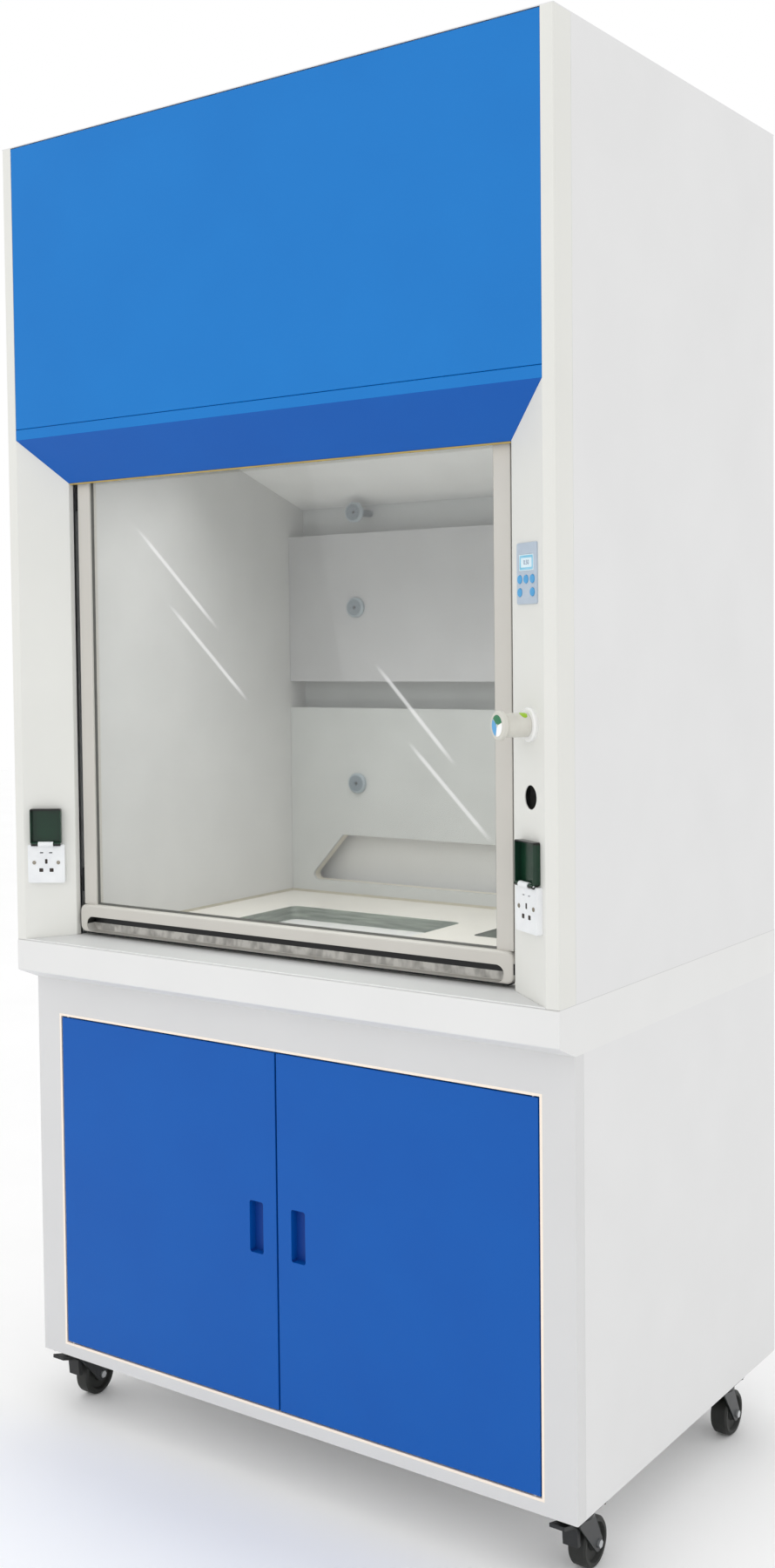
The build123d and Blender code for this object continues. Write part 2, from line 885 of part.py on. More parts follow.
# Sash frame: two grooved stiles and the grooved top rail between them
groove_thick = glass_thick + 2 * seam
groove_middle = y_sash + glass_setback + glass_thick / 2
with BuildPart() as sash_frame:
    for hand in (1, -1):
        with BuildSketch(Plane.XY.offset(sash_rail_top)):
            with Locations((hand * (stile_outer - stile_width / 2), y_sash + sash_thick / 2)):
                RectangleRounded(stile_width, sash_thick, 1.5)
            with Locations((hand * (pane_half - glass_groove / 2), groove_middle)):
                Rectangle(glass_groove, groove_thick, mode=Mode.SUBTRACT)
        extrude(amount=sash_height - handle_height)
    with BuildSketch(Plane.YZ.offset(-stile_outer + stile_width + seam)):
        with Locations((y_sash + sash_thick / 2, sash_top - top_rail_height / 2)):
            Rectangle(sash_thick - 1, top_rail_height)
        with Locations((groove_middle, sash_top - top_rail_height + glass_groove / 2)):
            Rectangle(groove_thick, glass_groove, mode=Mode.SUBTRACT)
    extrude(amount=2 * (stile_outer - stile_width - seam))
    # Belt clamps: a plate on each stile's back and a slotted block round the belt
    y_plate = y_sash + sash_thick
    y_clamp_back = y_front + belt_front + belt_thick + seam + clamp_edge
    clamp_start = stile_outer - stile_width + clamp_overlap
    clamp_inner = belt_x - belt_width / 2 - belt_thick
    clamp_mouth = belt_x + belt_width / 2 + seam
    clamp_outer = clamp_mouth + clamp_edge
    for hand in (1, -1):
        with BuildSketch(Plane.XY.offset(clamp_bottom)):
            with BuildLine():
                Polyline(
                    (hand * clamp_start, y_plate),
                    (hand * clamp_outer, y_plate),
                    (hand * clamp_outer, y_clamp_back),
                    (hand * clamp_inner, y_clamp_back),
                    (hand * clamp_inner, y_plate + clamp_plate),
                    (hand * clamp_start, y_plate + clamp_plate),
                    close=True,
                )
            make_face()
            with Locations((hand * (clamp_inner + clamp_mouth) / 2, y_front + belt_front + belt_thick / 2)):
                Rectangle(clamp_mouth - clamp_inner, belt_thick + 2 * seam, mode=Mode.SUBTRACT)
        extrude(amount=clamp_height)
hand_over(sash_frame, "sash_frame")

# Handle rail: rounded ends, glass groove on top and a long finger recess in front
y_handle = y_front + handle_front
handle_middle = sash_bottom + seal_height + (handle_height - seal_height) / 2
finger_middle = sash_rail_top - finger_drop - finger_height / 2
with BuildPart() as handle_rail:
    with BuildSketch(facing_front(y_handle)):
        with Locations((0, handle_middle)):
            RectangleRounded(2 * handle_half, handle_height - seal_height, handle_radius)
    extrude(amount=-handle_depth)
    fillet(handle_rail.edges().group_by(Axis.Y)[0], radius=4)
    with BuildSketch(facing_front(y_handle)):
        with Locations((0, finger_middle)):
            SlotOverall(2 * finger_half, finger_height)
    extrude(amount=-finger_depth, mode=Mode.SUBTRACT)
    with BuildSketch(Plane.XY.offset(sash_rail_top - glass_groove)):
        with Locations((0, groove_middle)):
            Rectangle(2 * pane_half, groove_thick)
    extrude(amount=glass_groove, mode=Mode.SUBTRACT)
hand_over(handle_rail, "handle_rail")

# Foot seal under the handle rail, and the guide shoes on the stiles
with BuildPart() as sash_slides:
    with BuildSketch(Plane.YZ.offset(handle_radius - handle_half)):
        with Locations((y_handle + handle_depth / 2, sash_bottom + seal_height / 2)):
            RectangleRounded(handle_depth - 12, seal_height - 0.01, 1)
    extrude(amount=2 * (handle_half - handle_radius))
    for hand in (1, -1):
        for z in (sash_rail_top + shoe_length, sash_top - 1.5 * shoe_length):
            with BuildSketch(Plane.YZ.offset(hand * stile_outer)):
                with Locations((y_track, z)):
                    RectangleRounded(shoe_width, shoe_length, 3)
            extrude(amount=hand * (shoe_reach - seam))
hand_over(sash_slides, "sash_slides")

# Endless drive belts round the shaft pulleys and the idlers
belt_span = shaft_height - idler_height
with BuildPart() as drive_belts:
    for hand in (1, -1):
        with BuildSketch(Plane.YZ.offset(hand * belt_x - belt_width / 2)):
            with Locations((y_drive, (shaft_height + idler_height) / 2)):
                SlotCenterToCenter(belt_span, 2 * belt_outer, rotation=90)
                SlotCenterToCenter(belt_span, 2 * belt_inner, rotation=90, mode=Mode.SUBTRACT)
        extrude(amount=belt_width)
hand_over(drive_belts, "drive_belts")


def pulley_outline(bore, x_start, x_end):
    # Half section of a flanged pulley about the X axis, from its bore out
    with BuildLine() as outline:
        Polyline(
            (x_start, bore),
            (x_start, pulley_flange),
            (x_start + pulley_flange_thick, pulley_flange),
            (x_start + pulley_flange_thick, pulley_radius),
            (x_end - pulley_flange_thick, pulley_radius),
            (x_end - pulley_flange_thick, pulley_flange),
            (x_end, pulley_flange),
            (x_end, bore),
            close=True,
        )
    return outline.edges()


# Cross shaft with a flanged pulley near each end
pulley_half = belt_width / 2 + seam + pulley_flange_thick
with BuildPart() as cross_shaft:
    shaft_plane = Plane(origin=(0, y_drive, shaft_height), x_dir=(1, 0, 0), z_dir=(0, -1, 0))
    shaft_axis = Axis((0, y_drive, shaft_height), (1, 0, 0))
    with BuildSketch(Plane.YZ.offset(-shaft_end)):
        with Locations((y_drive, shaft_height)):
            Circle(shaft_radius)
    extrude(amount=2 * shaft_end)
    chamfer(cross_shaft.edges(), length=1)
    for x in (-belt_x, belt_x):
        with BuildSketch(shaft_plane):
            make_face(pulley_outline(shaft_radius - 1, x - pulley_half, x + pulley_half))
        revolve(axis=shaft_axis)
hand_over(cross_shaft, "cross_shaft")

# Lower idlers, each turning on a bracket's stub
idler_axis = Axis((0, y_drive, idler_height), (1, 0, 0))
idler_plane = Plane(origin=(0, y_drive, idler_height), x_dir=(1, 0, 0), z_dir=(0, -1, 0))
for name, x in (("idler_left", -belt_x), ("idler_right", belt_x)):
    with BuildPart() as idler:
        with BuildSketch(idler_plane):
            make_face(pulley_outline(idler_axle + running, x - pulley_half, x + pulley_half))
        revolve(axis=idler_axis)
    hand_over(idler, name)

# Drive frame: a channel across the hood with two bearing plates, and a headed stub on each liner
y_beam = y_drive + gear_half
with BuildPart() as drive_frame:
    with BuildSketch(Plane.YZ.offset(seam + sheet - half_width)):
        channel = (
            (y_beam + beam_depth, shaft_height + beam_height / 2),
            (y_beam, shaft_height + beam_height / 2),
            (y_beam, shaft_height - beam_height / 2),
            (y_beam + beam_depth, shaft_height - beam_height / 2),
        )
        make_face(bent(channel, Side.LEFT, beam_sheet, beam_sheet + soft_edge))
    extrude(amount=2 * (half_width - seam - sheet))
    for hand in (1, -1):
        with BuildSketch(Plane.YZ.offset(hand * bearing_x)):
            with Locations((y_drive, shaft_height)):
                Circle(bearing_radius)
            with Locations(((y_drive + y_beam + beam_sheet) / 2, shaft_height)):
                Rectangle(y_beam + beam_sheet - y_drive, 2 * bearing_radius)
            with Locations((y_drive, shaft_height)):
                Circle(shaft_radius + running, mode=Mode.SUBTRACT)
        extrude(amount=hand * bearing_thick)
    for hand in (1, -1):
        with BuildSketch(Plane.YZ.offset(hand * liner_outer)):
            with Locations((y_drive + bracket_back, idler_height)):
                RectangleRounded(bracket_width, bracket_height, corner_radius)
        extrude(amount=hand * bracket_thick)
        with BuildSketch(Plane.YZ.offset(hand * liner_outer)):
            with Locations((y_drive, idler_height)):
                Circle(idler_axle)
        extrude(amount=hand * (belt_x + pulley_half + seam + stub_head_thick - liner_outer))
        with BuildSketch(Plane.YZ.offset(hand * (belt_x + pulley_half + seam))):
            with Locations((y_drive, idler_height)):
                Circle(stub_head)
        extrude(amount=hand * stub_head_thick)
        with BuildSketch(Plane.YZ.offset(hand * liner_outer)):
            with Locations((y_drive, idler_height)):
                Circle(stub_shoulder)
        extrude(amount=hand * (belt_x - pulley_half - seam - liner_outer))
hand_over(drive_frame, "drive_frame")

# Gear motor: a ribbed gear case on the shaft, bolted to the beam, with the motor hanging under it
with BuildPart() as gear_motor:
    gear_middle = (gear_left + gear_right) / 2
    with BuildSketch(Plane.YZ.offset(gear_left)):
        with Locations((y_drive, shaft_height)):
            RectangleRounded(2 * gear_half, 2 * gear_half, corner_radius)
            Circle(shaft_radius + running, mode=Mode.SUBTRACT)
    extrude(amount=gear_right - gear_left)
    with BuildSketch(Plane.XY.offset(shaft_height - gear_half)):
        with Locations((gear_middle, y_drive)):
            Circle(motor_radius)
    extrude(amount=-motor_length)
    with BuildSketch(Plane.XY.offset(shaft_height - gear_half - rib_margin)):
        with Locations((gear_middle, y_drive)):
            with PolarLocations(motor_radius, rib_count):
                Rectangle(2 * rib_reach, rib_thick)
    extrude(amount=-(motor_length - 2 * rib_margin))
    chamfer(gear_motor.faces().sort_by(Axis.Z)[0].edges(), length=2 * soft_edge)
hand_over(gear_motor, "gear_motor")

# Plenum box over the chamber: takes air from behind the back liner and feeds the fan's inlet
plenum_bottom = ceiling_height + ceiling_thick
with BuildPart() as plenum_box:
    plenum_depth = y_back - 2 * sheet - seam - (y_front + plenum_front)
    plenum_middle = y_front + plenum_front + plenum_depth / 2
    with BuildSketch(Plane.XY.offset(plenum_bottom)):
        with Locations((0, plenum_middle)):
            Rectangle(2 * plenum_half, plenum_depth)
    extrude(amount=fan_bottom - plenum_bottom)
    with BuildSketch(Plane.XY.offset(plenum_bottom + sheet)):
        with Locations((0, plenum_middle)):
            Rectangle(2 * (plenum_half - sheet), plenum_depth - 2 * sheet)
    extrude(amount=fan_bottom - plenum_bottom - 2 * sheet, mode=Mode.SUBTRACT)
    with BuildSketch(Plane.XY.offset(plenum_bottom)):
        with Locations((0, (y_chamber_back + liner + y_back - 2 * sheet) / 2)):
            Rectangle(2 * (plenum_half - frame_return), y_back - y_chamber_back - liner - 4 * sheet)
    extrude(amount=2 * sheet, mode=Mode.SUBTRACT)
    with BuildSketch(Plane.XY.offset(fan_bottom)):
        with Locations((0, y_fan)):
            Circle(fan_inlet)
    extrude(amount=-2 * sheet, mode=Mode.SUBTRACT)
hand_over(plenum_box, "plenum_box")

# Fan casing: a revolved shell that widens round the impeller, with the motor in a ring on struts
fan_plane = Plane(origin=(0, y_fan, 0), x_dir=(1, 0, 0), z_dir=(0, -1, 0))
fan_axis = Axis((0, y_fan, 0), (0, 0, 1))
collar_throat = collar_radius - collar_swage
casing_neck = collar_throat - sheet - seam - fan_wall
motor_foot = impeller_bottom + impeller_height + motor_gap
motor_top = motor_foot + motor_can_height
with BuildPart() as fan_casing:
    with BuildSketch(fan_plane):
        with BuildLine():
            Polyline(
                (fan_inlet + fan_flange, fan_bottom),
                (fan_inlet, fan_bottom),
                (fan_inlet, fan_bottom + inlet_rise),
                (fan_radius, fan_bottom + cone_rise),
                (fan_radius, collar_foot - shoulder_drop),
                (casing_neck, collar_foot - neck_drop),
                (casing_neck, collar_foot + neck_rise),
            )
            offset(amount=fan_wall, side=Side.RIGHT, kind=Kind.INTERSECTION)
        make_face()
    revolve(axis=fan_axis)
    with BuildSketch(Plane.XY.offset(motor_top - motor_can_height / 2 - strut_tall / 2)):
        with Locations((0, y_fan)):
            with PolarLocations((motor_can + fan_radius) / 2, strut_count):
                Rectangle(fan_radius - motor_can + strut_thick / 2, strut_thick)
            Circle(motor_can + strut_thick)
            Circle(motor_can - strut_thick, mode=Mode.SUBTRACT)
    extrude(amount=strut_tall)
    with BuildSketch(fan_plane):
        with BuildLine():
            Polyline(
                (0, motor_foot),
                (motor_can, motor_foot),
                (motor_can, motor_top),
                (motor_dome_radius, motor_top + motor_dome),
                (0, motor_top + motor_dome),
                close=True,
            )
        make_face()
    revolve(axis=fan_axis)
    with BuildSketch(Plane.XY.offset(motor_foot)):
        with Locations((0, y_fan)):
            Circle(fan_shaft)
    extrude(amount=-(motor_gap + impeller_height - hub_rise - seam))
hand_over(fan_casing, "fan_casing")

# Impeller: backplate, hub, curved blades and a coned shroud ring
with BuildPart() as impeller:
    top = impeller_bottom + impeller_height
    blade_reach = impeller_radius - blade_thick
    blade_end = blade_reach * cos(asin(blade_sweep / blade_reach))
    with BuildSketch(fan_plane):
        with BuildLine():
            Polyline(
                (fan_shaft + running, impeller_bottom + hub_rise),
                (hub_radius, impeller_bottom + hub_rise),
                (hub_radius + hub_flare, top - backplate),
                (impeller_radius, top - backplate),
                (impeller_radius, top),
                (fan_shaft + running, top),
                close=True,
            )
        make_face()
        with BuildLine():
            Polyline(
                (shroud_inlet, impeller_bottom),
                (impeller_radius, impeller_bottom + shroud_rise),
                (impeller_radius, impeller_bottom + shroud_rise + shroud_thick),
                (shroud_inlet, impeller_bottom + shroud_thick),
                close=True,
            )
        make_face()
    revolve(axis=fan_axis)
    for blade in range(blade_count):
        turn = radians(360 * blade / blade_count)
        blade_plane = Plane(
            origin=(0, y_fan, impeller_bottom + shroud_thick),
            x_dir=(cos(turn), sin(turn), 0),
            z_dir=(0, 0, 1),
        )
        with BuildSketch(blade_plane):
            with BuildLine():
                RadiusArc((blade_start, 0), (blade_end, blade_sweep), -blade_curve)
                offset(amount=blade_thick, side=Side.LEFT)
            make_face()
        extrude(amount=impeller_height - shroud_thick - backplate / 2)
    # Below the shroud's cone and past the rim the blades are cut away
    with BuildSketch(fan_plane):
        with BuildLine():
            Polyline(
                (shroud_inlet, impeller_bottom),
                (impeller_radius, impeller_bottom + shroud_rise),
                (impeller_radius, top),
                (impeller_radius + blade_thick, top),
                (impeller_radius + blade_thick, impeller_bottom),
                close=True,
            )
        make_face()
    revolve(axis=fan_axis, mode=Mode.SUBTRACT)
hand_over(impeller, "impeller")

# Exhaust collar: a swaged spigot through the roof with a flange on it
with BuildPart() as exhaust_collar:
    with BuildSketch(fan_plane):
        with BuildLine():
            Polyline(
                (collar_throat - sheet, collar_foot),
                (collar_throat, collar_foot),
                (collar_throat, body_height),
                (collar_radius + collar_flange, body_height),
                (collar_radius + collar_flange, body_height + sheet),
                (collar_radius + fold, body_height + sheet),
                (collar_radius, body_height + sheet + fold),
                (collar_radius, body_height + collar_height),
                (collar_radius - sheet, body_height + collar_height),
                (collar_radius - sheet, body_height + 2 * sheet),
                (collar_throat - sheet, body_height + sheet),
                close=True,
            )
        make_face()
    revolve(axis=fan_axis)
hand_over(exhaust_collar, "exhaust_collar")

# Control panel: bezel with a rim behind, a display window and holes for the keys
panel_plane = splayed(1, panel_line)
panel_normal = Axis(panel_plane.origin, panel_plane.z_dir)
with BuildPart() as control_panel:
    with BuildSketch(panel_plane):
        with Locations((0, panel_height)):
            RectangleRounded(panel_width, panel_tall, panel_radius)
    extrude(amount=panel_thick)
    chamfer(control_panel.faces().sort_by(panel_normal)[-1].edges(), length=panel_chamfer)
    with BuildSketch(panel_plane):
        with Locations((0, panel_height)):
            Rectangle(rim_width, rim_tall)
            Rectangle(rim_width - 2 * panel_rim, rim_tall - 2 * panel_rim, mode=Mode.SUBTRACT)
    extrude(amount=-panel_body)
    with BuildSketch(panel_plane.offset(panel_thick)):
        with Locations((0, display_height)):
            Rectangle(display_width + 2 * seam, display_tall + 2 * seam)
    extrude(amount=-display_thick, mode=Mode.SUBTRACT)
    with BuildSketch(panel_plane.offset(panel_thick)):
        for rise, columns in key_rows:
            with Locations(*[(column * key_pitch, panel_height + rise) for column in columns]):
                Circle(key_radius + key_gap)
    extrude(amount=-panel_thick, mode=Mode.SUBTRACT)
hand_over(control_panel, "control_panel")

# Display glass in its shallow window, and the circuit board behind the keys
with BuildPart() as display:
    with BuildSketch(panel_plane.offset(panel_thick - display_thick)):
        with Locations((0, display_height)):
            Rectangle(display_width, display_tall)
    extrude(amount=display_thick - display_sunk)
    with BuildSketch(panel_plane.offset(-board_gap)):
        with Locations((0, panel_height)):
            Rectangle(rim_width - 2 * panel_rim - 2 * seam, rim_tall - 2 * panel_rim - 2 * seam)
    extrude(amount=-circuit_thick)
hand_over(display, "display")

# Keys: a domed cap, a keeper flange behind the bezel and a stem towards the board
for row, (rise, columns) in enumerate(key_rows, start=1):
    for count, column in enumerate(columns, start=1):
        with BuildPart() as key:
            place = (column * key_pitch, panel_height + rise)
            with BuildSketch(panel_plane.offset(-key_gap)):
                with Locations(place):
                    Circle(key_radius)
            extrude(amount=panel_thick + key_gap + key_stand)
            chamfer(key.faces().sort_by(panel_normal)[-1].edges(), length=key_dome)
            with BuildSketch(panel_plane.offset(-key_gap)):
                with Locations(place):
                    Circle(key_radius + key_flange_edge)
            extrude(amount=-key_flange)
            with BuildSketch(panel_plane.offset(-key_gap)):
                with Locations(place):
                    Circle(key_radius / 2)
            extrude(amount=key_travel + key_gap - board_gap)
        hand_over(key, f"key_{row}_{count}")

# Valve body: rosette in front of the post, neck through it and the body behind
valve_plane = splayed(1, fitting_line)
with BuildPart() as valve_body:
    with BuildSketch(valve_plane):
        with Locations((0, valve_height)):
            Circle(rosette_radius)
    extrude(amount=rosette_thick)
    valve_axis = Axis(valve_plane.origin, valve_plane.z_dir)
    chamfer(valve_body.faces().sort_by(valve_axis)[-1].edges(), length=rosette_edge)
    with BuildSketch(valve_plane):
        with Locations((0, valve_height)):
            Circle(valve_neck)
    extrude(amount=-valve_back)
    with BuildSketch(valve_plane.offset(-2 * sheet)):
        with Locations((0, valve_height)):
            RegularPolygon(valve_hex, 6)
    extrude(amount=-valve_hex_length)
    with BuildSketch(valve_plane.offset(rosette_thick)):
        with Locations((0, valve_height)):
            Circle(spindle_radius + running)
    extrude(amount=-(rosette_thick + valve_bore_depth), mode=Mode.SUBTRACT)
    # Supply pipe from the valve's tail through the liner to its nozzle
    tail = valve_plane.from_local_coords((0, valve_height, -valve_back))
    with BuildLine() as pipe_path:
        FilletPolyline(
            tail,
            (pipe_x + 2 * pipe_bend, y_front + pipe_start, valve_height),
            (pipe_x, y_front + nozzle_depth / 2, valve_height),
            (pipe_x, y_front + nozzle_depth, valve_height),
            (pipe_x, y_front + nozzle_depth, nozzle_height),
            (chamber_half - nozzle_reach, y_front + nozzle_depth, nozzle_height),
            radius=pipe_bend,
        )
    with BuildSketch(Plane(origin=tail, x_dir=valve_plane.x_dir, z_dir=-valve_plane.z_dir)):
        Circle(pipe_radius)
    sweep(path=pipe_path.wires()[0])
    # Nozzle round the pipe's end, with a plate against the liner
    for start, radius in ((nozzle_reach, nozzle_radius), (nozzle_plate, nozzle_flange)):
        with BuildSketch(Plane.YZ.offset(chamber_half - start)):
            with Locations((y_front + nozzle_depth, nozzle_height)):
                Circle(radius)
        extrude(amount=start)
    with BuildSketch(Plane.YZ.offset(chamber_half - nozzle_reach)):
        with Locations((y_front + nozzle_depth, nozzle_height)):
            Circle(pipe_bore)
    extrude(amount=nozzle_reach, mode=Mode.SUBTRACT)
    # Inlet stub down from the valve's body
    with BuildSketch(Plane.XY.offset(valve_height)):
        with Locations(tuple(valve_plane.from_local_coords((0, valve_height, -valve_inlet)))[:2]):
            Circle(inlet_radius)
    extrude(amount=-inlet_length)
hand_over(valve_body, "valve_body")

# Valve handle: waisted barrel, wider cap and the spindle in the valve's bore
valve_foot = valve_plane.from_local_coords((0, valve_height, 0))
knob_section = Plane(origin=valve_foot, x_dir=valve_plane.x_dir, z_dir=(0, 0, -1))
with BuildPart() as valve_handle:
    with BuildSketch(knob_section):
        with BuildLine():
            Polyline(
                (0, knob_length),
                (knob_cap_radius, knob_length),
                (knob_cap_radius, knob_length - knob_cap),
                (knob_radius, knob_length - knob_cap - knob_step),
                (knob_radius, rosette_thick + seam),
                (spindle_radius, rosette_thick + seam),
                (spindle_radius, 2 - valve_bore_depth),
                (0, 2 - valve_bore_depth),
                close=True,
            )
        make_face()
    revolve(axis=Axis(valve_foot, valve_plane.z_dir))
    fillet(valve_handle.edges().group_by(Axis(valve_foot, valve_plane.z_dir))[-1], radius=knob_edge)
hand_over(valve_handle, "valve_handle")


def on_axis(plane, height, off):
    # Section plane whose x runs along the splayed face and whose z points down
    return Plane(origin=plane.from_local_coords((0, height, off)), x_dir=plane.z_dir, z_dir=plane.x_dir)


# Socket plates on the splayed faces, each with its box behind and the lid's hinge barrel
hinge_height = socket_height + socket_tall / 2 + 1
with BuildPart() as socket_plates:
    for hand in (1, -1):
        face = splayed(hand, fitting_line)
        hinge = on_axis(face, hinge_height, hinge_stand)
        with BuildSketch(face):
            with Locations((0, socket_height)):
                RectangleRounded(socket_width, socket_tall, socket_radius)
        extrude(amount=socket_thick)
        with BuildSketch(face):
            with Locations((0, socket_height)):
                Rectangle(socket_box, socket_box)
        extrude(amount=-socket_box_depth)
        with BuildSketch(hinge.offset(-barrel_half)):
            Circle(barrel_radius)
        extrude(amount=2 * barrel_half)
        for start in (barrel_half, -barrel_half - knuckle_length - 2 * seam):
            with BuildSketch(hinge.offset(start)):
                Circle(knuckle_radius + seam)
            extrude(amount=knuckle_length + 2 * seam, mode=Mode.SUBTRACT)
        with BuildSketch(hinge.offset(-barrel_half)):
            Circle(hinge_pin + running)
        extrude(amount=2 * barrel_half, mode=Mode.SUBTRACT)
        with BuildSketch(face.offset(socket_thick)):
            with Locations((0, socket_height + 4)):
                Rectangle(3, 7)
            with Locations((-9, socket_height - 11), (9, socket_height - 11)):
                Rectangle(3, 6)
            with Locations((-8, socket_height + 19), (8, socket_height + 19)):
                Rectangle(6, 2)
        extrude(amount=-slot_depth, mode=Mode.SUBTRACT)
hand_over(socket_plates, "socket_plates")

# Socket lids, standing open: a tray with two knuckles
for name, hand in (("lid_left", -1), ("lid_right", 1)):
    with BuildPart() as lid:
        face = splayed(hand, fitting_line)
        hinge = on_axis(face, hinge_height, hinge_stand)
        lid_middle = hinge_height + 1 + lid_tall / 2
        with BuildSketch(face.offset(lid_stand)):
            with Locations((0, lid_middle)):
                RectangleRounded(lid_width, lid_tall, 3)
        extrude(amount=lid_depth)
        with BuildSketch(face.offset(lid_stand + lid_wall)):
            with Locations((0, lid_middle)):
                RectangleRounded(lid_width - 2 * lid_wall, lid_tall - 2 * lid_wall, 1)
        extrude(amount=lid_depth, mode=Mode.SUBTRACT)
        with BuildSketch(face.offset(hinge_stand - barrel_radius - seam)):
            with Locations((0, hinge_height)):
                Rectangle(2 * (barrel_half + seam), 2 * (barrel_radius + seam))
        extrude(amount=lid_depth, mode=Mode.SUBTRACT)
        for start in (barrel_half + seam, -barrel_half - seam - knuckle_length):
            with BuildSketch(hinge.offset(start)):
                Circle(knuckle_radius)
            extrude(amount=knuckle_length)
        with BuildSketch(hinge.offset(-lid_width)):
            Circle(hinge_pin + running)
        extrude(amount=2 * lid_width, mode=Mode.SUBTRACT)
    hand_over(lid, name)

# Cabinet frame: a shallow pan with the door opening and its deep lip
door_half = half_width - door_inset
frame_height = slab_bottom - cabinet_bottom
opening_middle = (door_bottom + door_top) / 2
with BuildPart() as cabinet_frame:
    with BuildSketch(facing_front(y_cabinet)):
        with Locations((0, cabinet_bottom + frame_height / 2)):
            Rectangle(body_width, frame_height)
    extrude(amount=-frame_return)
    fillet(cabinet_frame.edges().filter_by(Axis.Z).group_by(Axis.Y)[0], radius=fold)
    offset(amount=-sheet, openings=cabinet_frame.faces().sort_by(Axis.Y)[-1])
    with BuildSketch(facing_front(y_cabinet)):
        with Locations((0, opening_middle)):
            Rectangle(2 * (door_half + sheet), door_top - door_bottom + 2 * sheet)
    extrude(amount=-frame_lip)
    with BuildSketch(facing_front(y_cabinet)):
        with Locations((0, opening_middle)):
            Rectangle(2 * door_half, door_top - door_bottom)
    extrude(amount=-frame_lip, mode=Mode.SUBTRACT)
    with BuildSketch(Plane.XY.offset(cabinet_bottom)):
        with Locations((pivot_x, y_pivot), (-pivot_x, y_pivot)):
            Circle(pivot_radius + running)
    extrude(amount=frame_height, mode=Mode.SUBTRACT)
    with BuildSketch(Plane.XY.offset(cabinet_bottom)):
        for hand in (1, -1):
            with Locations((hand * caster_x, y_front + caster_front)):
                with GridLocations(2 * bolt_x, 2 * bolt_y, 2, 2):
                    Circle(bolt_radius + seam)
    extrude(amount=2 * sheet, mode=Mode.SUBTRACT)
hand_over(cabinet_frame, "cabinet_frame")

# Cabinet shell: returned sides with shelf tabs, and a floor pan drilled for the casters
shell_front = y_cabinet + frame_return + seam
floor_far = y_back - 2 * sheet - seam
with BuildPart() as cabinet_shell:
    for hand, side in ((1, Side.LEFT), (-1, Side.RIGHT)):
        with BuildSketch(Plane.XY.offset(cabinet_bottom)):
            start = (hand * half_width, shell_front)
            corner = (hand * half_width, y_back)
            make_face(bent((start, corner, (hand * (half_width - frame_return), y_back)), side))
        extrude(amount=frame_height)
        with BuildSketch(Plane.XY.offset(shelf_height - shelf_edge / 2 - sheet)):
            with Locations(*[(hand * (half_width - sheet - tab_reach / 2), y_front + d) for d in shelf_tabs]):
                Rectangle(tab_reach, tab_reach)
        extrude(amount=sheet)
    with BuildSketch(Plane.XY.offset(cabinet_bottom)):
        with Locations((0, (shell_front + floor_far) / 2)):
            Rectangle(body_width - 2 * sheet - 2 * seam, floor_far - shell_front)
    extrude(amount=floor_upstand)
    with BuildSketch(Plane.XY.offset(cabinet_bottom + sheet)):
        with Locations((0, (shell_front + floor_far) / 2)):
            Rectangle(body_width - 4 * sheet - 2 * seam, floor_far - shell_front - 2 * sheet)
    extrude(amount=floor_upstand, mode=Mode.SUBTRACT)
    with BuildSketch(Plane.XY.offset(cabinet_bottom)):
        for x, d in caster_places:
            with Locations((x, y_front + d)):
                with GridLocations(2 * bolt_x, 2 * bolt_y, 2, 2):
                    Circle(bolt_radius + seam)
    extrude(amount=2 * sheet, mode=Mode.SUBTRACT)
hand_over(cabinet_shell, "cabinet_shell")

# Shelf: a pan folded down on all sides, resting on the tabs
shelf_far = y_back - 2 * sheet - seam
with BuildPart() as shelf:
    with BuildSketch(Plane.XY.offset(shelf_height - shelf_edge / 2)):
        with Locations((0, (y_front + shelf_front + shelf_far) / 2)):
            Rectangle(body_width - 6 * sheet, shelf_far - y_front - shelf_front)
    extrude(amount=shelf_edge)
    offset(amount=-sheet, openings=shelf.faces().sort_by(Axis.Z)[0])
hand_over(shelf, "shelf")

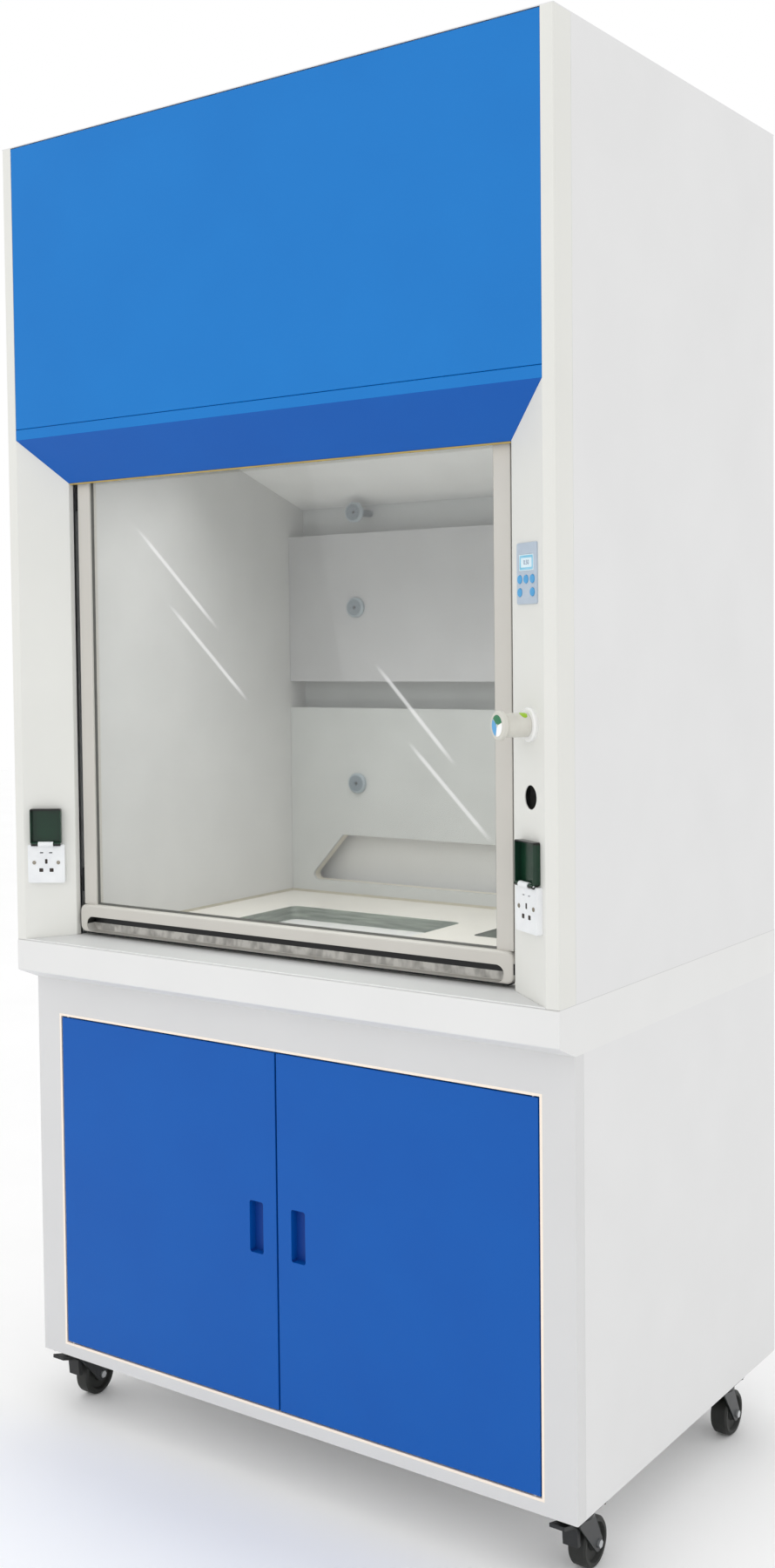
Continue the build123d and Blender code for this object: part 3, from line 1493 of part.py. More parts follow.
# Doors: folded pans with a return lip behind, a sunk pull and pivot holes
for name, hand in (("door_left", -1), ("door_right", 1)):
    with BuildPart() as door:
        door_wide = door_half - door_gap - door_meeting
        door_tall = door_top - door_bottom - 2 * door_gap
        door_middle = (hand * (door_meeting + door_wide / 2), opening_middle)
        with BuildSketch(facing_front(y_cabinet)):
            with Locations(door_middle):
                Rectangle(door_wide, door_tall)
        extrude(amount=-door_thick)
        fillet(door.edges().group_by(Axis.Y)[0], radius=soft_edge)
        with BuildSketch(facing_front(y_cabinet + door_skin)):
            with Locations(door_middle):
                Rectangle(door_wide - 2 * door_skin, door_tall - 2 * door_skin)
        extrude(amount=-(door_thick - 2 * door_skin), mode=Mode.SUBTRACT)
        with BuildSketch(facing_front(y_cabinet + door_thick - 2 * door_skin)):
            with Locations(door_middle):
                Rectangle(door_wide - 2 * door_return, door_tall - 2 * door_return)
        extrude(amount=-2 * door_skin, mode=Mode.SUBTRACT)
        with BuildSketch(facing_front(y_cabinet)):
            with Locations((hand * pull_x, pull_height)):
                RectangleRounded(
                    pull_width + 2 * door_skin,
                    pull_tall + 2 * door_skin,
                    pull_radius + door_skin,
                )
        extrude(amount=-(pull_depth + door_skin))
        with BuildSketch(facing_front(y_cabinet)):
            with Locations((hand * pull_x, pull_height)):
                RectangleRounded(pull_width, pull_tall, pull_radius)
        extrude(amount=-pull_depth, mode=Mode.SUBTRACT)
        with BuildSketch(Plane.XY.offset(door_bottom)):
            with Locations((hand * pivot_x, y_pivot)):
                Circle(pivot_radius + running)
        extrude(amount=door_top - door_bottom, mode=Mode.SUBTRACT)
    hand_over(door, name)

# Hinge pins of the two doors and the two lids
with BuildPart() as hinge_pins:
    for hand in (1, -1):
        pivot = (hand * pivot_x, y_pivot)
        with BuildSketch(Plane.XY.offset(door_bottom - pin_length / 2)):
            with Locations(pivot):
                Circle(pivot_radius)
        extrude(amount=pin_length)
        with BuildSketch(Plane.XY.offset(door_bottom)):
            with Locations(pivot):
                Circle(pivot_collar)
        extrude(amount=door_gap)
        with BuildSketch(Plane.XY.offset(door_top + sheet)):
            with Locations(pivot):
                Circle(pivot_radius)
        extrude(amount=-pin_length)
        with BuildSketch(Plane.XY.offset(door_top + sheet)):
            with Locations(pivot):
                Circle(pivot_collar)
        extrude(amount=door_gap)
        hinge = on_axis(splayed(hand, fitting_line), hinge_height, hinge_stand)
        with BuildSketch(hinge.offset(-barrel_half - knuckle_length)):
            Circle(hinge_pin)
        extrude(amount=2 * (barrel_half + knuckle_length))
hand_over(hinge_pins, "hinge_pins")

# Caster plates: plate, bearing race, king pin and four bolts through the cabinet's floor
with BuildPart() as caster_plates:
    for x, d in caster_places:
        place = (x, y_front + d)
        plate_bottom = cabinet_bottom - plate_thick
        with BuildSketch(Plane.XY.offset(plate_bottom)):
            with Locations(place):
                RectangleRounded(plate_width, plate_length, 8)
        extrude(amount=plate_thick)
        with BuildSketch(Plane.XY.offset(plate_bottom)):
            with Locations(place):
                Circle(race_radius)
        extrude(amount=-race_height)
        with BuildSketch(Plane.XY.offset(plate_bottom)):
            with Locations(place):
                Circle(king_radius)
        extrude(amount=crown_bottom - seam - plate_bottom)
        with BuildSketch(Plane.XY.offset(crown_bottom - seam)):
            with Locations(place):
                Circle(king_head)
        extrude(amount=-king_head_thick)
        with BuildSketch(Plane.XY.offset(plate_bottom - bolt_head_thick)):
            with Locations(place):
                with GridLocations(2 * bolt_x, 2 * bolt_y, 2, 2):
                    RegularPolygon(bolt_head, 6)
        extrude(amount=bolt_head_thick)
        with BuildSketch(Plane.XY.offset(cabinet_bottom)):
            with Locations(place):
                with GridLocations(2 * bolt_x, 2 * bolt_y, 2, 2):
                    Circle(bolt_radius)
        extrude(amount=bolt_stand)
hand_over(caster_plates, "caster_plates")

# Caster forks, wheels and, in front, the brake pedals
axle_half = wheel_width / 2 + leg_gap + leg_thick
for name, (x, d) in zip(("front_left", "front_right", "rear_left", "rear_right"), caster_places):
    y_swivel = y_front + d
    y_axle = y_swivel + caster_trail
    with BuildPart() as fork:
        with BuildSketch(Plane.XY.offset(crown_bottom)):
            with Locations((x, y_swivel)):
                Circle(crown_radius)
                Circle(king_radius + running, mode=Mode.SUBTRACT)
        extrude(amount=crown_thick)
        for hand in (1, -1):
            with BuildSketch(Plane.YZ.offset(x + hand * (wheel_width / 2 + leg_gap))):
                with Locations((y_swivel, crown_bottom + crown_thick / 2)):
                    Rectangle(2 * leg_top, crown_thick)
                with Locations((y_axle, wheel_radius)):
                    Circle(boss_radius)
                if d == caster_front:
                    with Locations((y_swivel + pedal_pivot_back, pedal_pivot_height)):
                        Circle(pedal_ear)
                make_hull()
            extrude(amount=hand * leg_thick)
        with BuildSketch(Plane.YZ.offset(x - axle_half)):
            with Locations((y_axle, wheel_radius)):
                Circle(axle_radius)
            if d == caster_front:
                with Locations((y_swivel + pedal_pivot_back, pedal_pivot_height)):
                    Circle(pedal_pin)
        extrude(amount=2 * axle_half)
        for hand in (1, -1):
            with BuildSketch(Plane.YZ.offset(x + hand * axle_half)):
                with Locations((y_axle, wheel_radius)):
                    RegularPolygon(bolt_head, 6)
            extrude(amount=hand * axle_nut)
    hand_over(fork, f"fork_{name}")

    with BuildPart() as wheel:
        with BuildSketch(Plane(origin=(x, y_axle, wheel_radius), x_dir=(1, 0, 0), z_dir=(0, -1, 0))):
            with BuildLine():
                hub = wheel_width / 2
                Polyline(
                    (-hub, axle_radius + running),
                    (-hub, hub_edge),
                    (web_half - hub, hub_edge + web_half / 2),
                    (web_half - hub, wheel_radius - tyre_thick - web_half / 2),
                    (-hub, wheel_radius - tyre_thick),
                    (-hub, wheel_radius - tread_edge),
                    (tread_edge - hub, wheel_radius),
                    (hub - tread_edge, wheel_radius),
                    (hub, wheel_radius - tread_edge),
                    (hub, wheel_radius - tyre_thick),
                    (hub - web_half, wheel_radius - tyre_thick - web_half / 2),
                    (hub - web_half, hub_edge + web_half / 2),
                    (hub, hub_edge),
                    (hub, axle_radius + running),
                    close=True,
                )
            make_face()
        revolve(axis=Axis((x, y_axle, wheel_radius), (1, 0, 0)))
    hand_over(wheel, f"wheel_{name}")

    if d == caster_front:
        with BuildPart() as pedal:
            pivot_y = y_swivel + pedal_pivot_back
            with BuildSketch(Plane.YZ.offset(x - pedal_width / 2)):
                with BuildLine():
                    Polyline(
                        (pivot_y + 5, pedal_pivot_height + 2),
                        (pivot_y - 14, pedal_pivot_height + 5),
                        (y_swivel + pedal_tip, pedal_pivot_height + 13),
                        (y_swivel + pedal_tip, pedal_pivot_height + 7),
                        (pivot_y - 14, pedal_pivot_height - 2),
                        (pivot_y - 5, pedal_pivot_height - 6),
                        (pivot_y - 2, pedal_pad_height),
                        (pivot_y + 6, pedal_pad_height),
                        close=True,
                    )
                make_face()
                with Locations((pivot_y, pedal_pivot_height)):
                    Circle(pedal_pin + running, mode=Mode.SUBTRACT)
            extrude(amount=pedal_width)
        hand_over(pedal, f"pedal_{name}")
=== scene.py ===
from math import atan2, cos, pi, radians, sin

import bmesh
import bpy
from mathutils import Matrix, Vector


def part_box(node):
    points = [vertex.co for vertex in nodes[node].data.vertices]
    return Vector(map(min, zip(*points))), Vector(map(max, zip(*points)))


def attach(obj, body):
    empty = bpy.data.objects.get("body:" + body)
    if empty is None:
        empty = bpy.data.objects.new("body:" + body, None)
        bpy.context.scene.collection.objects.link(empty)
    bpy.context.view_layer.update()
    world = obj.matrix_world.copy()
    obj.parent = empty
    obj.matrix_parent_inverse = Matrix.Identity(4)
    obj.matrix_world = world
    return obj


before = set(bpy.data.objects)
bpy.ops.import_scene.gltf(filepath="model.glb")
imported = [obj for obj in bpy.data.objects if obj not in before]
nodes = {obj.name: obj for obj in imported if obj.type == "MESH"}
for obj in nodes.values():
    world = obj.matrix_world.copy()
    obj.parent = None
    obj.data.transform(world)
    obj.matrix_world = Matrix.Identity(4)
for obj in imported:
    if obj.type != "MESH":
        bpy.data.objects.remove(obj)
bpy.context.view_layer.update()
bpy.context.scene.view_settings.view_transform = "Standard"
mm = 0.001

print("stage: camera")

# The picture is 890 wide and 1800 high. Its optical axis lies left of the middle and above it.
cameraSetup = {
    "place": (1.5985, -2.4823, 1.3512),
    "turn": 38.46,      # degrees to the left of straight into the hood
    "tilt": -2.49,      # degrees down
    "roll": -0.85,
    "focal": 1963.7,    # in picture pixels
    "axis": (250, 825.3),
    "picture": (890, 1800),
}


def makeCamera(setup):
    turn, tilt, roll = (radians(setup[key]) for key in ("turn", "tilt", "roll"))
    ahead = Vector((-sin(turn) * cos(tilt), cos(turn) * cos(tilt), sin(tilt)))
    across = Vector((cos(turn), sin(turn), 0))
    upright = across.cross(ahead)
    right = across * cos(roll) + upright * sin(roll)
    up = upright * cos(roll) - across * sin(roll)
    data = bpy.data.cameras.new("photoCamera")
    wide, high = setup["picture"]
    data.sensor_width = 36
    data.lens = setup["focal"] / high * 36
    data.shift_x = (wide / 2 - setup["axis"][0]) / high
    data.shift_y = (setup["axis"][1] - high / 2) / high
    camera = bpy.data.objects.new("photoCamera", data)
    turned = Matrix((right, up, -ahead)).transposed().to_4x4()
    camera.matrix_world = Matrix.Translation(setup["place"]) @ turned
    bpy.context.scene.collection.objects.link(camera)
    bpy.context.scene.camera = camera


makeCamera(cameraSetup)


def linear(code):
    # sRGB hex to the linear colour that a shader wants
    parts = [int(code[i:i + 2], 16) / 255 for i in (1, 3, 5)]
    return [p / 12.92 if p <= 0.04045 else ((p + 0.055) / 1.055) ** 2.4 for p in parts] + [1]


def addNode(tree, kind, settings=None, **links):
    # Settings go to the node, or to the input of that name or number; a link is (node, output)
    node = tree.nodes.new(kind)
    for key, value in (settings or {}).items():
        if isinstance(key, str) and hasattr(node, key):
            setattr(node, key, value)
        else:
            node.inputs[key].default_value = value
    for key, source in links.items():
        slot = int(key[2:]) if key.startswith("in") and key[2:].isdigit() else key.replace("_", " ")
        tree.links.new(source[0].outputs[source[1]], node.inputs[slot])
    return node


def newMaterial(name, colour, **shader):
    # Returns the material, its tree, the shader node and the object coordinates
    made = bpy.data.materials.new(name)
    made.use_nodes = True
    tree = made.node_tree
    bsdf = tree.nodes["Principled BSDF"]
    bsdf.inputs["Base Color"].default_value = linear(colour)
    for key, value in shader.items():
        bsdf.inputs[key.replace("_", " ")].default_value = value
    coords = addNode(tree, "ShaderNodeTexCoord")
    return made, tree, bsdf, coords


def paint(tree, bsdf, source):
    # The shader's colour comes from a (node, output) pair
    tree.links.new(source[0].outputs[source[1]], bsdf.inputs["Base Color"])


def noisy(tree, source, size, detail=2):
    # Noise of a size in mm over a (node, output) pair of coordinates
    return addNode(tree, "ShaderNodeTexNoise", {"Scale": 1 / (size * mm), "Detail": detail}, Vector=source)


def shaded(tree, noise, colours, spread):
    # Noise turned into a run between two colours
    ramp = addNode(tree, "ShaderNodeValToRGB", {}, Fac=(noise, "Fac"))
    for element, colour, place in zip(ramp.color_ramp.elements, colours, spread):
        element.position = place
        element.color = linear(colour)
    return ramp


# The middle part of the noise, where most of its values lie
softSpread = (0.3, 0.7)
sharpSpread = (0.4, 0.6)
fullSpread = (0, 1)


def mottled(tree, coords, colours, size):
    # Soft blotches between two colours, size in mm
    return shaded(tree, noisy(tree, (coords, "Object"), size, 3), colours, softSpread)


def grained(tree, coords, bsdf, size, depth, gloss=None):
    # Fine relief, size and depth in mm, with the gloss varying over it where asked
    noise = noisy(tree, (coords, "Object"), size)
    bump = addNode(tree, "ShaderNodeBump", {"Strength": 0.6, "Distance": depth * mm}, Height=(noise, "Fac"))
    tree.links.new(bump.outputs["Normal"], bsdf.inputs["Normal"])
    if gloss:
        settings = {"To Min": gloss[0], "To Max": gloss[1]}
        spread = addNode(tree, "ShaderNodeMapRange", settings, Value=(noise, "Fac"))
        tree.links.new(spread.outputs["Result"], bsdf.inputs["Roughness"])


def joined(tree, operation, parts):
    # One value out of several: each part is a node with its value at the first output
    total = parts[0]
    for part in parts[1:]:
        total = addNode(tree, "ShaderNodeMath", {"operation": operation}, in0=(total, 0), in1=(part, 0))
    return total


def within(tree, coords, low, high):
    # 1 inside the box between two corners in metres, 0 outside
    split = addNode(tree, "ShaderNodeSeparateXYZ", {}, Vector=(coords, "Object"))
    tests = []
    for axis in range(3):
        middle, half = (low[axis] + high[axis]) / 2, (high[axis] - low[axis]) / 2
        settings = {"operation": "COMPARE", 1: middle, 2: half}
        tests.append(addNode(tree, "ShaderNodeMath", settings, in0=(split, axis)))
    return joined(tree, "MULTIPLY", tests)


def mixed(tree, mask, first, second):
    # Colour mix: each of first and second is a hex code or a (node, output) pair
    mix = addNode(tree, "ShaderNodeMix", {"data_type": "RGBA"}, in0=(mask, 0))
    for slot, colour in ((6, first), (7, second)):
        if isinstance(colour, str):
            mix.inputs[slot].default_value = linear(colour)
        else:
            tree.links.new(colour[0].outputs[colour[1]], mix.inputs[slot])
    return mix


def dress(made, *names):
    for name in names:
        data = nodes[name].data
        data.materials.clear()
        data.materials.append(made)


print("stage: materials")

# Sheet steel, satin powder coat: off-white, with the coat's soft orange peel
powderCoat = {
    "skins": ("#E2E2E2", "#DFDFDF"),
    "posts": ("#E2E2DD", "#DFDFDA"),
    "slab": ("#E5E5E4", "#E2E2E1"),
    "frame": ("#D8D8D8", "#D5D5D5"),
    "sash": ("#CBC8C1", "#C5C2BB"),
    "cloud": 180,
    "peel": 2.2,
    "depth": 0.04,
    "gloss": (0.38, 0.5),
}


def powderWhite(name, pair):
    made, tree, bsdf, coords = newMaterial(name, pair[0], Roughness=0.42, Specular_IOR_Level=0.4)
    ramp = mottled(tree, coords, pair[::-1], powderCoat["cloud"])
    paint(tree, bsdf, (ramp, "Color"))
    grained(tree, coords, bsdf, powderCoat["peel"], powderCoat["depth"], powderCoat["gloss"])
    return made, tree, bsdf, coords, ramp


dress(
    powderWhite("powderCoatedSteelSkins", powderCoat["skins"])[0],
    "side_skins", "rear_skins", "roof", "cabinet_shell", "shelf",
)
dress(powderWhite("powderCoatedSteelPosts", powderCoat["posts"])[0], "corner_posts")


# Slab: its top face, from just behind the front edge, is painted greyer than its front, as painted shade
def slabCoatWithShadedTop(top):
    made, tree, bsdf, coords, ramp = powderWhite("powderCoatedSteelSlabShadedTop", powderCoat["slab"])
    low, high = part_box("base_slab")
    skin, edge = 1 * mm, 2 * mm
    mask = within(tree, coords, (low.x, low.y + edge, high.z - skin), (high.x, high.y, high.z + 1))
    mix = mixed(tree, mask, (ramp, "Color"), top)
    paint(tree, bsdf, (mix, 2))
    return made


# The greyer top colour is painted shade on the same white coat
dress(slabCoatWithShadedTop("#CBCBCA"), "base_slab", "sill")


# Cabinet frame: the same coat, with a cream bead round the door opening
def cabinetCoat(bead):
    made, tree, bsdf, coords, ramp = powderWhite("powderCoatedSteelFrame", powderCoat["frame"])
    left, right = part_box("door_left")[0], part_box("door_right")[1]
    edge = bead["gap"] + bead["width"]
    low = (left.x - edge * mm, left.y - 1, left.z - edge * mm)
    high = (right.x + edge * mm, left.y + 1, right.z + edge * mm)
    mask = within(tree, coords, low, high)
    mix = mixed(tree, mask, (ramp, "Color"), bead["colour"])
    paint(tree, bsdf, (mix, 2))
    return made


dress(cabinetCoat({"gap": 2.5, "width": 4, "colour": "#FBEEDF"}), "cabinet_frame")


# Blue powder coat, light on the top panel and deep on the bevel and the doors
blueCoat = {
    "light": ("#0574C4", "#0877C7"),
    "deep": ("#0056AE", "#0059B1"),
    # Deeper blue inside the door pulls' recesses, as painted shade
    "pull": "#0B3F92",
    "cloud": 160,
    "gloss": (0.34, 0.46),
    "band": 18,         # height of the lintel's upright band above its bevel
}


def powderBlue(name, pair):
    made, tree, bsdf, coords = newMaterial(name, pair[1], Roughness=0.4, Specular_IOR_Level=0.25)
    ramp = mottled(tree, coords, pair, blueCoat["cloud"])
    paint(tree, bsdf, (ramp, "Color"))
    grained(tree, coords, bsdf, powderCoat["peel"], powderCoat["depth"], blueCoat["gloss"])
    return made, tree, bsdf, coords, ramp


dress(powderBlue("powderCoatedSteelBlue", blueCoat["light"])[0], "access_panel")


def lintelCoat():
    made, tree, bsdf, coords, ramp = powderBlue("powderCoatedSteelLintel", blueCoat["light"])
    low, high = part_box("lintel")
    deep = mottled(tree, coords, blueCoat["deep"], blueCoat["cloud"])
    bend = high.z - blueCoat["band"] * mm
    mask = within(tree, coords, (low.x - 1, low.y - 1, low.z - 1), (high.x + 1, high.y + 1, bend))
    mix = mixed(tree, mask, (ramp, "Color"), (deep, "Color"))
    paint(tree, bsdf, (mix, 2))
    return made


# Recessed pull of a door: its middle from the hood's own middle, its half width and half height
doorPull = {"x": 41, "z": 419, "half": (13.4, 41.9), "skin": 0.8}


def doorCoatWithShadedPull(name, node, pull):
    made, tree, bsdf, coords, ramp = powderBlue(name, blueCoat["deep"])
    low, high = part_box(node)
    side = 1 if low.x + high.x > 0 else -1
    x, z = side * pull["x"] * mm, pull["z"] * mm
    halfX, halfZ = (v * mm for v in pull["half"])
    inside = (x - halfX, low.y + pull["skin"] * mm, z - halfZ), (x + halfX, high.y + 1, z + halfZ)
    # The inside of each pull's recess gets the deeper blue as painted shade
    mix = mixed(tree, within(tree, coords, *inside), (ramp, "Color"), blueCoat["pull"])
    paint(tree, bsdf, (mix, 2))
    return made


dress(lintelCoat(), "lintel")
for doorNode in ("door_left", "door_right"):
    dress(doorCoatWithShadedPull("powderCoatedSteelShadedPull_" + doorNode, doorNode, doorPull), doorNode)

# Compact laminate: hard resin board, satin, faintly clouded
laminate = {
    # One board throughout; the panels differ as painted light and shade: the ceiling painted lighter, the
    # sides and the back darker
    "side_liners": ("#D3D3D1", "#CECECC"),
    "ceiling_panel": ("#EFEFED", "#E9E9E7"),
    "back_liner": ("#C8CAC8", "#C2C4C2"),
    "cloud": 90,
    "grain": 1.5,
    "depth": 0.03,
    "gloss": (0.42, 0.55),
}


def laminateFace(name, pair):
    made, tree, bsdf, coords = newMaterial(name, pair[0], Roughness=0.5, IOR=1.55)
    ramp = mottled(tree, coords, pair[::-1], laminate["cloud"])
    paint(tree, bsdf, (ramp, "Color"))
    grained(tree, coords, bsdf, laminate["grain"], laminate["depth"], laminate["gloss"])
    return made, tree, bsdf, coords, ramp


for linerNode in ("side_liners", "ceiling_panel"):
    dress(laminateFace("compactLaminatePaintedLight_" + linerNode, laminate[linerNode])[0], linerNode)


# Back liner: paler low down, where light falls through the slot on it
def backFace(pair, pale, top):
    made, tree, bsdf, coords, ramp = laminateFace("compactLaminateBack", pair)
    mix = mixed(tree, within(tree, coords, (-1, -1, 0), (1, 1, top * mm)), (ramp, "Color"), pale)
    paint(tree, bsdf, (mix, 2))
    return made


# Height in mm up to which the back liner is paler
paleTop = 1100
dress(backFace(laminate["back_liner"], "#E8E8E6", paleTop), "back_liner")


# Baffles: the middle one darker than the lower one, with a beige lip round the slot
def baffleFace(shades):
    made, tree, bsdf, coords, ramp = laminateFace("compactLaminateBaffles", shades["lower"])
    low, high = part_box("rear_baffles")
    middle = mottled(tree, coords, shades["middle"], laminate["cloud"])
    above = within(tree, coords, (-1, -1, shades["split"] * mm), (1, 1, 3))
    first = mixed(tree, above, (ramp, "Color"), (middle, "Color"))
    behind = within(tree, coords, (-1, low.y + shades["thick"] * mm, 0), (1, 1, 3))
    second = mixed(tree, behind, (first, 2), shades["lip"])
    paint(tree, bsdf, (second, 2))
    return made


dress(baffleFace({
    "lower": ("#C2C4C1", "#BCBEBB"),
    "middle": ("#B2B2B2", "#B8B8B8"),
    "split": 1250,
    "thick": 6.3,
    "lip": "#D8D3C4",
}), "rear_baffles")


# Worktop: ivory faces over a dark grey-green core that the cut edges show in streaks
def worktopBoard(look):
    first = look["face"][0]
    made, tree, bsdf, coords = newMaterial("compactLaminateWorktop", first, Roughness=0.35, IOR=1.55)
    face = mottled(tree, coords, look["face"], look["cloud"])
    stretch = addNode(tree, "ShaderNodeMapping", {"Scale": look["stretch"]}, Vector=(coords, "Object"))
    core = shaded(tree, noisy(tree, (stretch, 0), look["streak"], 4), look["core"], softSpread)
    surface = addNode(tree, "ShaderNodeNewGeometry")
    split = addNode(tree, "ShaderNodeSeparateXYZ", {}, Vector=(surface, "Normal"))
    flat = addNode(tree, "ShaderNodeMath", {"operation": "ABSOLUTE"}, in0=(split, 2))
    level = addNode(tree, "ShaderNodeMath", {"operation": "GREATER_THAN", 1: 0.5}, in0=(flat, 0))
    mix = mixed(tree, level, (core, "Color"), (face, "Color"))
    paint(tree, bsdf, (mix, 2))
    return made


dress(worktopBoard({
    "face": ("#E3E0D7", "#E9E6DD"),
    "core": ("#5C665E", "#8E978C"),
    "cloud": 120,
    "streak": 60,
    "stretch": (1, 1, 12),
}), "worktop_board")


# One plain moulded finish: a fine matt texture from the mould
def moulded(name, colour, shade, roughness=0.4, size=0.8, **shader):
    made, tree, bsdf, coords = newMaterial(name, colour, Roughness=roughness, **shader)
    ramp = mottled(tree, coords, (shade, colour), 25)
    paint(tree, bsdf, (ramp, "Color"))
    grained(tree, coords, bsdf, size, 0.03, (roughness - 0.05, roughness + 0.08))
    return made, tree, bsdf, coords, ramp


dress(moulded("polypropyleneWhite", "#F2F2F0", "#ECECEA", 0.35)[0], "basins")
dress(moulded("polycarbonateOpal", "#F4F5F2", "#ECEDEA", 0.25, Emission_Strength=0.6)[0], "lamp")
dress(moulded("nylonBlack", "#26282A", "#1C1E20", 0.5)[0], "idler_left", "idler_right")
dress(
    moulded("rubberBlack", "#222427", "#1A1C1E", 0.65, Specular_IOR_Level=0.3)[0],
    "sash_slides", "drive_belts",
)
dress(moulded("polypropyleneGrey", "#8E9294", "#85898B", 0.45)[0], "fan_casing")
dress(moulded("polypropyleneDark", "#3A3E42", "#303438", 0.45)[0], "impeller")
dress(moulded("enamelGreyMotor", "#5A6066", "#51575D", 0.4)[0], "gear_motor")


# Metals: the spread of the gloss is what shows that they were brushed or dipped
def metal(name, colour, shade, roughness, size, stretch=(1, 1, 1)):
    made, tree, bsdf, coords = newMaterial(name, colour, Metallic=1, Roughness=roughness)
    mapping = addNode(tree, "ShaderNodeMapping", {"Scale": stretch}, Vector=(coords, "Object"))
    noise = noisy(tree, (mapping, 0), size, 3)
    ramp = shaded(tree, noise, (shade, colour), fullSpread)
    least, most = roughness - 0.08, roughness + 0.1
    spread = addNode(tree, "ShaderNodeMapRange", {"To Min": least, "To Max": most}, Value=(noise, "Fac"))
    paint(tree, bsdf, (ramp, "Color"))
    tree.links.new(spread.outputs["Result"], bsdf.inputs["Roughness"])
    return made


dress(metal("groundSteel", "#C9CACB", "#B4B6B8", 0.28, 3, (0.05, 1, 1)), "cross_shaft", "hinge_pins")
dress(metal("galvanisedSheet", "#C4C8CB", "#A9AEB2", 0.42, 14), "drive_frame", "plenum_box", "exhaust_collar")
dress(metal("anodisedAluminium", "#C9CBCC", "#BFC1C3", 0.36, 2, (1, 1, 0.03)), "guide_tracks")


# Valve: plated brass behind the post, with a white coated rosette in front of it
def valveFace(look):
    made = metal("platedBrass", "#D6D6D4", "#C6C7C7", 0.14, 8)
    tree = made.node_tree
    bsdf = tree.nodes["Principled BSDF"]
    coords = addNode(tree, "ShaderNodeTexCoord")
    mask = within(tree, coords, look["low"], look["high"])
    plated = bsdf.inputs["Base Color"].links[0].from_node
    mix = mixed(tree, mask, (plated, "Color"), look["coat"])
    paint(tree, bsdf, (mix, 2))
    bare = addNode(tree, "ShaderNodeMath", {"operation": "SUBTRACT", 0: 1.0}, in1=(mask, 0))
    tree.links.new(bare.outputs[0], bsdf.inputs["Metallic"])
    return made


dress(valveFace({"low": (0.42, -0.41, 1.19), "high": (0.52, -0.33, 1.28), "coat": "#EDEDEB"}), "valve_body")


# Sash: powder coat on aluminium, with painted shade in the finger groove of its rail (grey stripes, and a
# near-black painted shadow along its upper part), and toughened glass
dress(powderWhite("powderCoatedAluminium", powderCoat["sash"])[0], "sash_frame")


def railCoat(groove):
    made, tree, bsdf, coords, ramp = powderWhite("powderCoatedAluminiumRailShadedGroove", powderCoat["sash"])
    low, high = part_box("handle_rail")
    near = low.y + groove["skin"] * mm
    head = (high.x, high.y, groove["head"] * mm)
    grooveShadePart = within(tree, coords, (low.x, near, groove["foot"] * mm), head)
    shadowPart = within(tree, coords, (low.x, near, groove["shadow"] * mm), head)
    stretch = addNode(tree, "ShaderNodeMapping", {"Scale": groove["stretch"]}, Vector=(coords, "Object"))
    shadeStripes = shaded(tree, noisy(tree, (stretch, 0), groove["stripeSize"]), groove["shadeStripes"], sharpSpread)
    first = mixed(tree, grooveShadePart, (ramp, "Color"), (shadeStripes, "Color"))
    second = mixed(tree, shadowPart, (first, 2), groove["dark"])
    paint(tree, bsdf, (second, 2))
    return made


dress(railCoat({
    "skin": 1.5,
    "foot": 862,
    "head": 890,
    "shadow": 874,
    "stripeSize": 16,
    "stretch": (1, 0.2, 0.6),
    # Grey stripes painted as shade inside the groove, and a near-black painted shadow along its upper part
    "shadeStripes": ("#A6A49F", "#D2D0CA"),
    "dark": "#0F1012",
}), "handle_rail")


def gleam(tree, coords, start, end, width):
    # 1 along a painted reflection streak on the pane between two places (x, z) in mm, fading towards its ends
    x, z = (start[0] + end[0]) / 2, (start[1] + end[1]) / 2
    along = Vector((end[0] - start[0], end[1] - start[1]))
    turn = atan2(-along.y, along.x)
    local = addNode(
        tree, "ShaderNodeMapping",
        {"vector_type": "TEXTURE", "Location": (x * mm, 0, z * mm), "Rotation": (0, turn, 0)},
        Vector=(coords, "Object"),
    )
    split = addNode(tree, "ShaderNodeSeparateXYZ", {}, Vector=(local, 0))
    fades = []
    for axis, half in ((0, along.length / 2), (2, width / 2)):
        size = addNode(tree, "ShaderNodeMath", {"operation": "ABSOLUTE"}, in0=(split, axis))
        full, gone = half * 0.6 * mm, half * mm
        settings = {"From Min": full, "From Max": gone, "To Min": 1, "To Max": 0}
        fades.append(addNode(tree, "ShaderNodeMapRange", settings, Value=(size, 0)))
    return joined(tree, "MULTIPLY", fades)


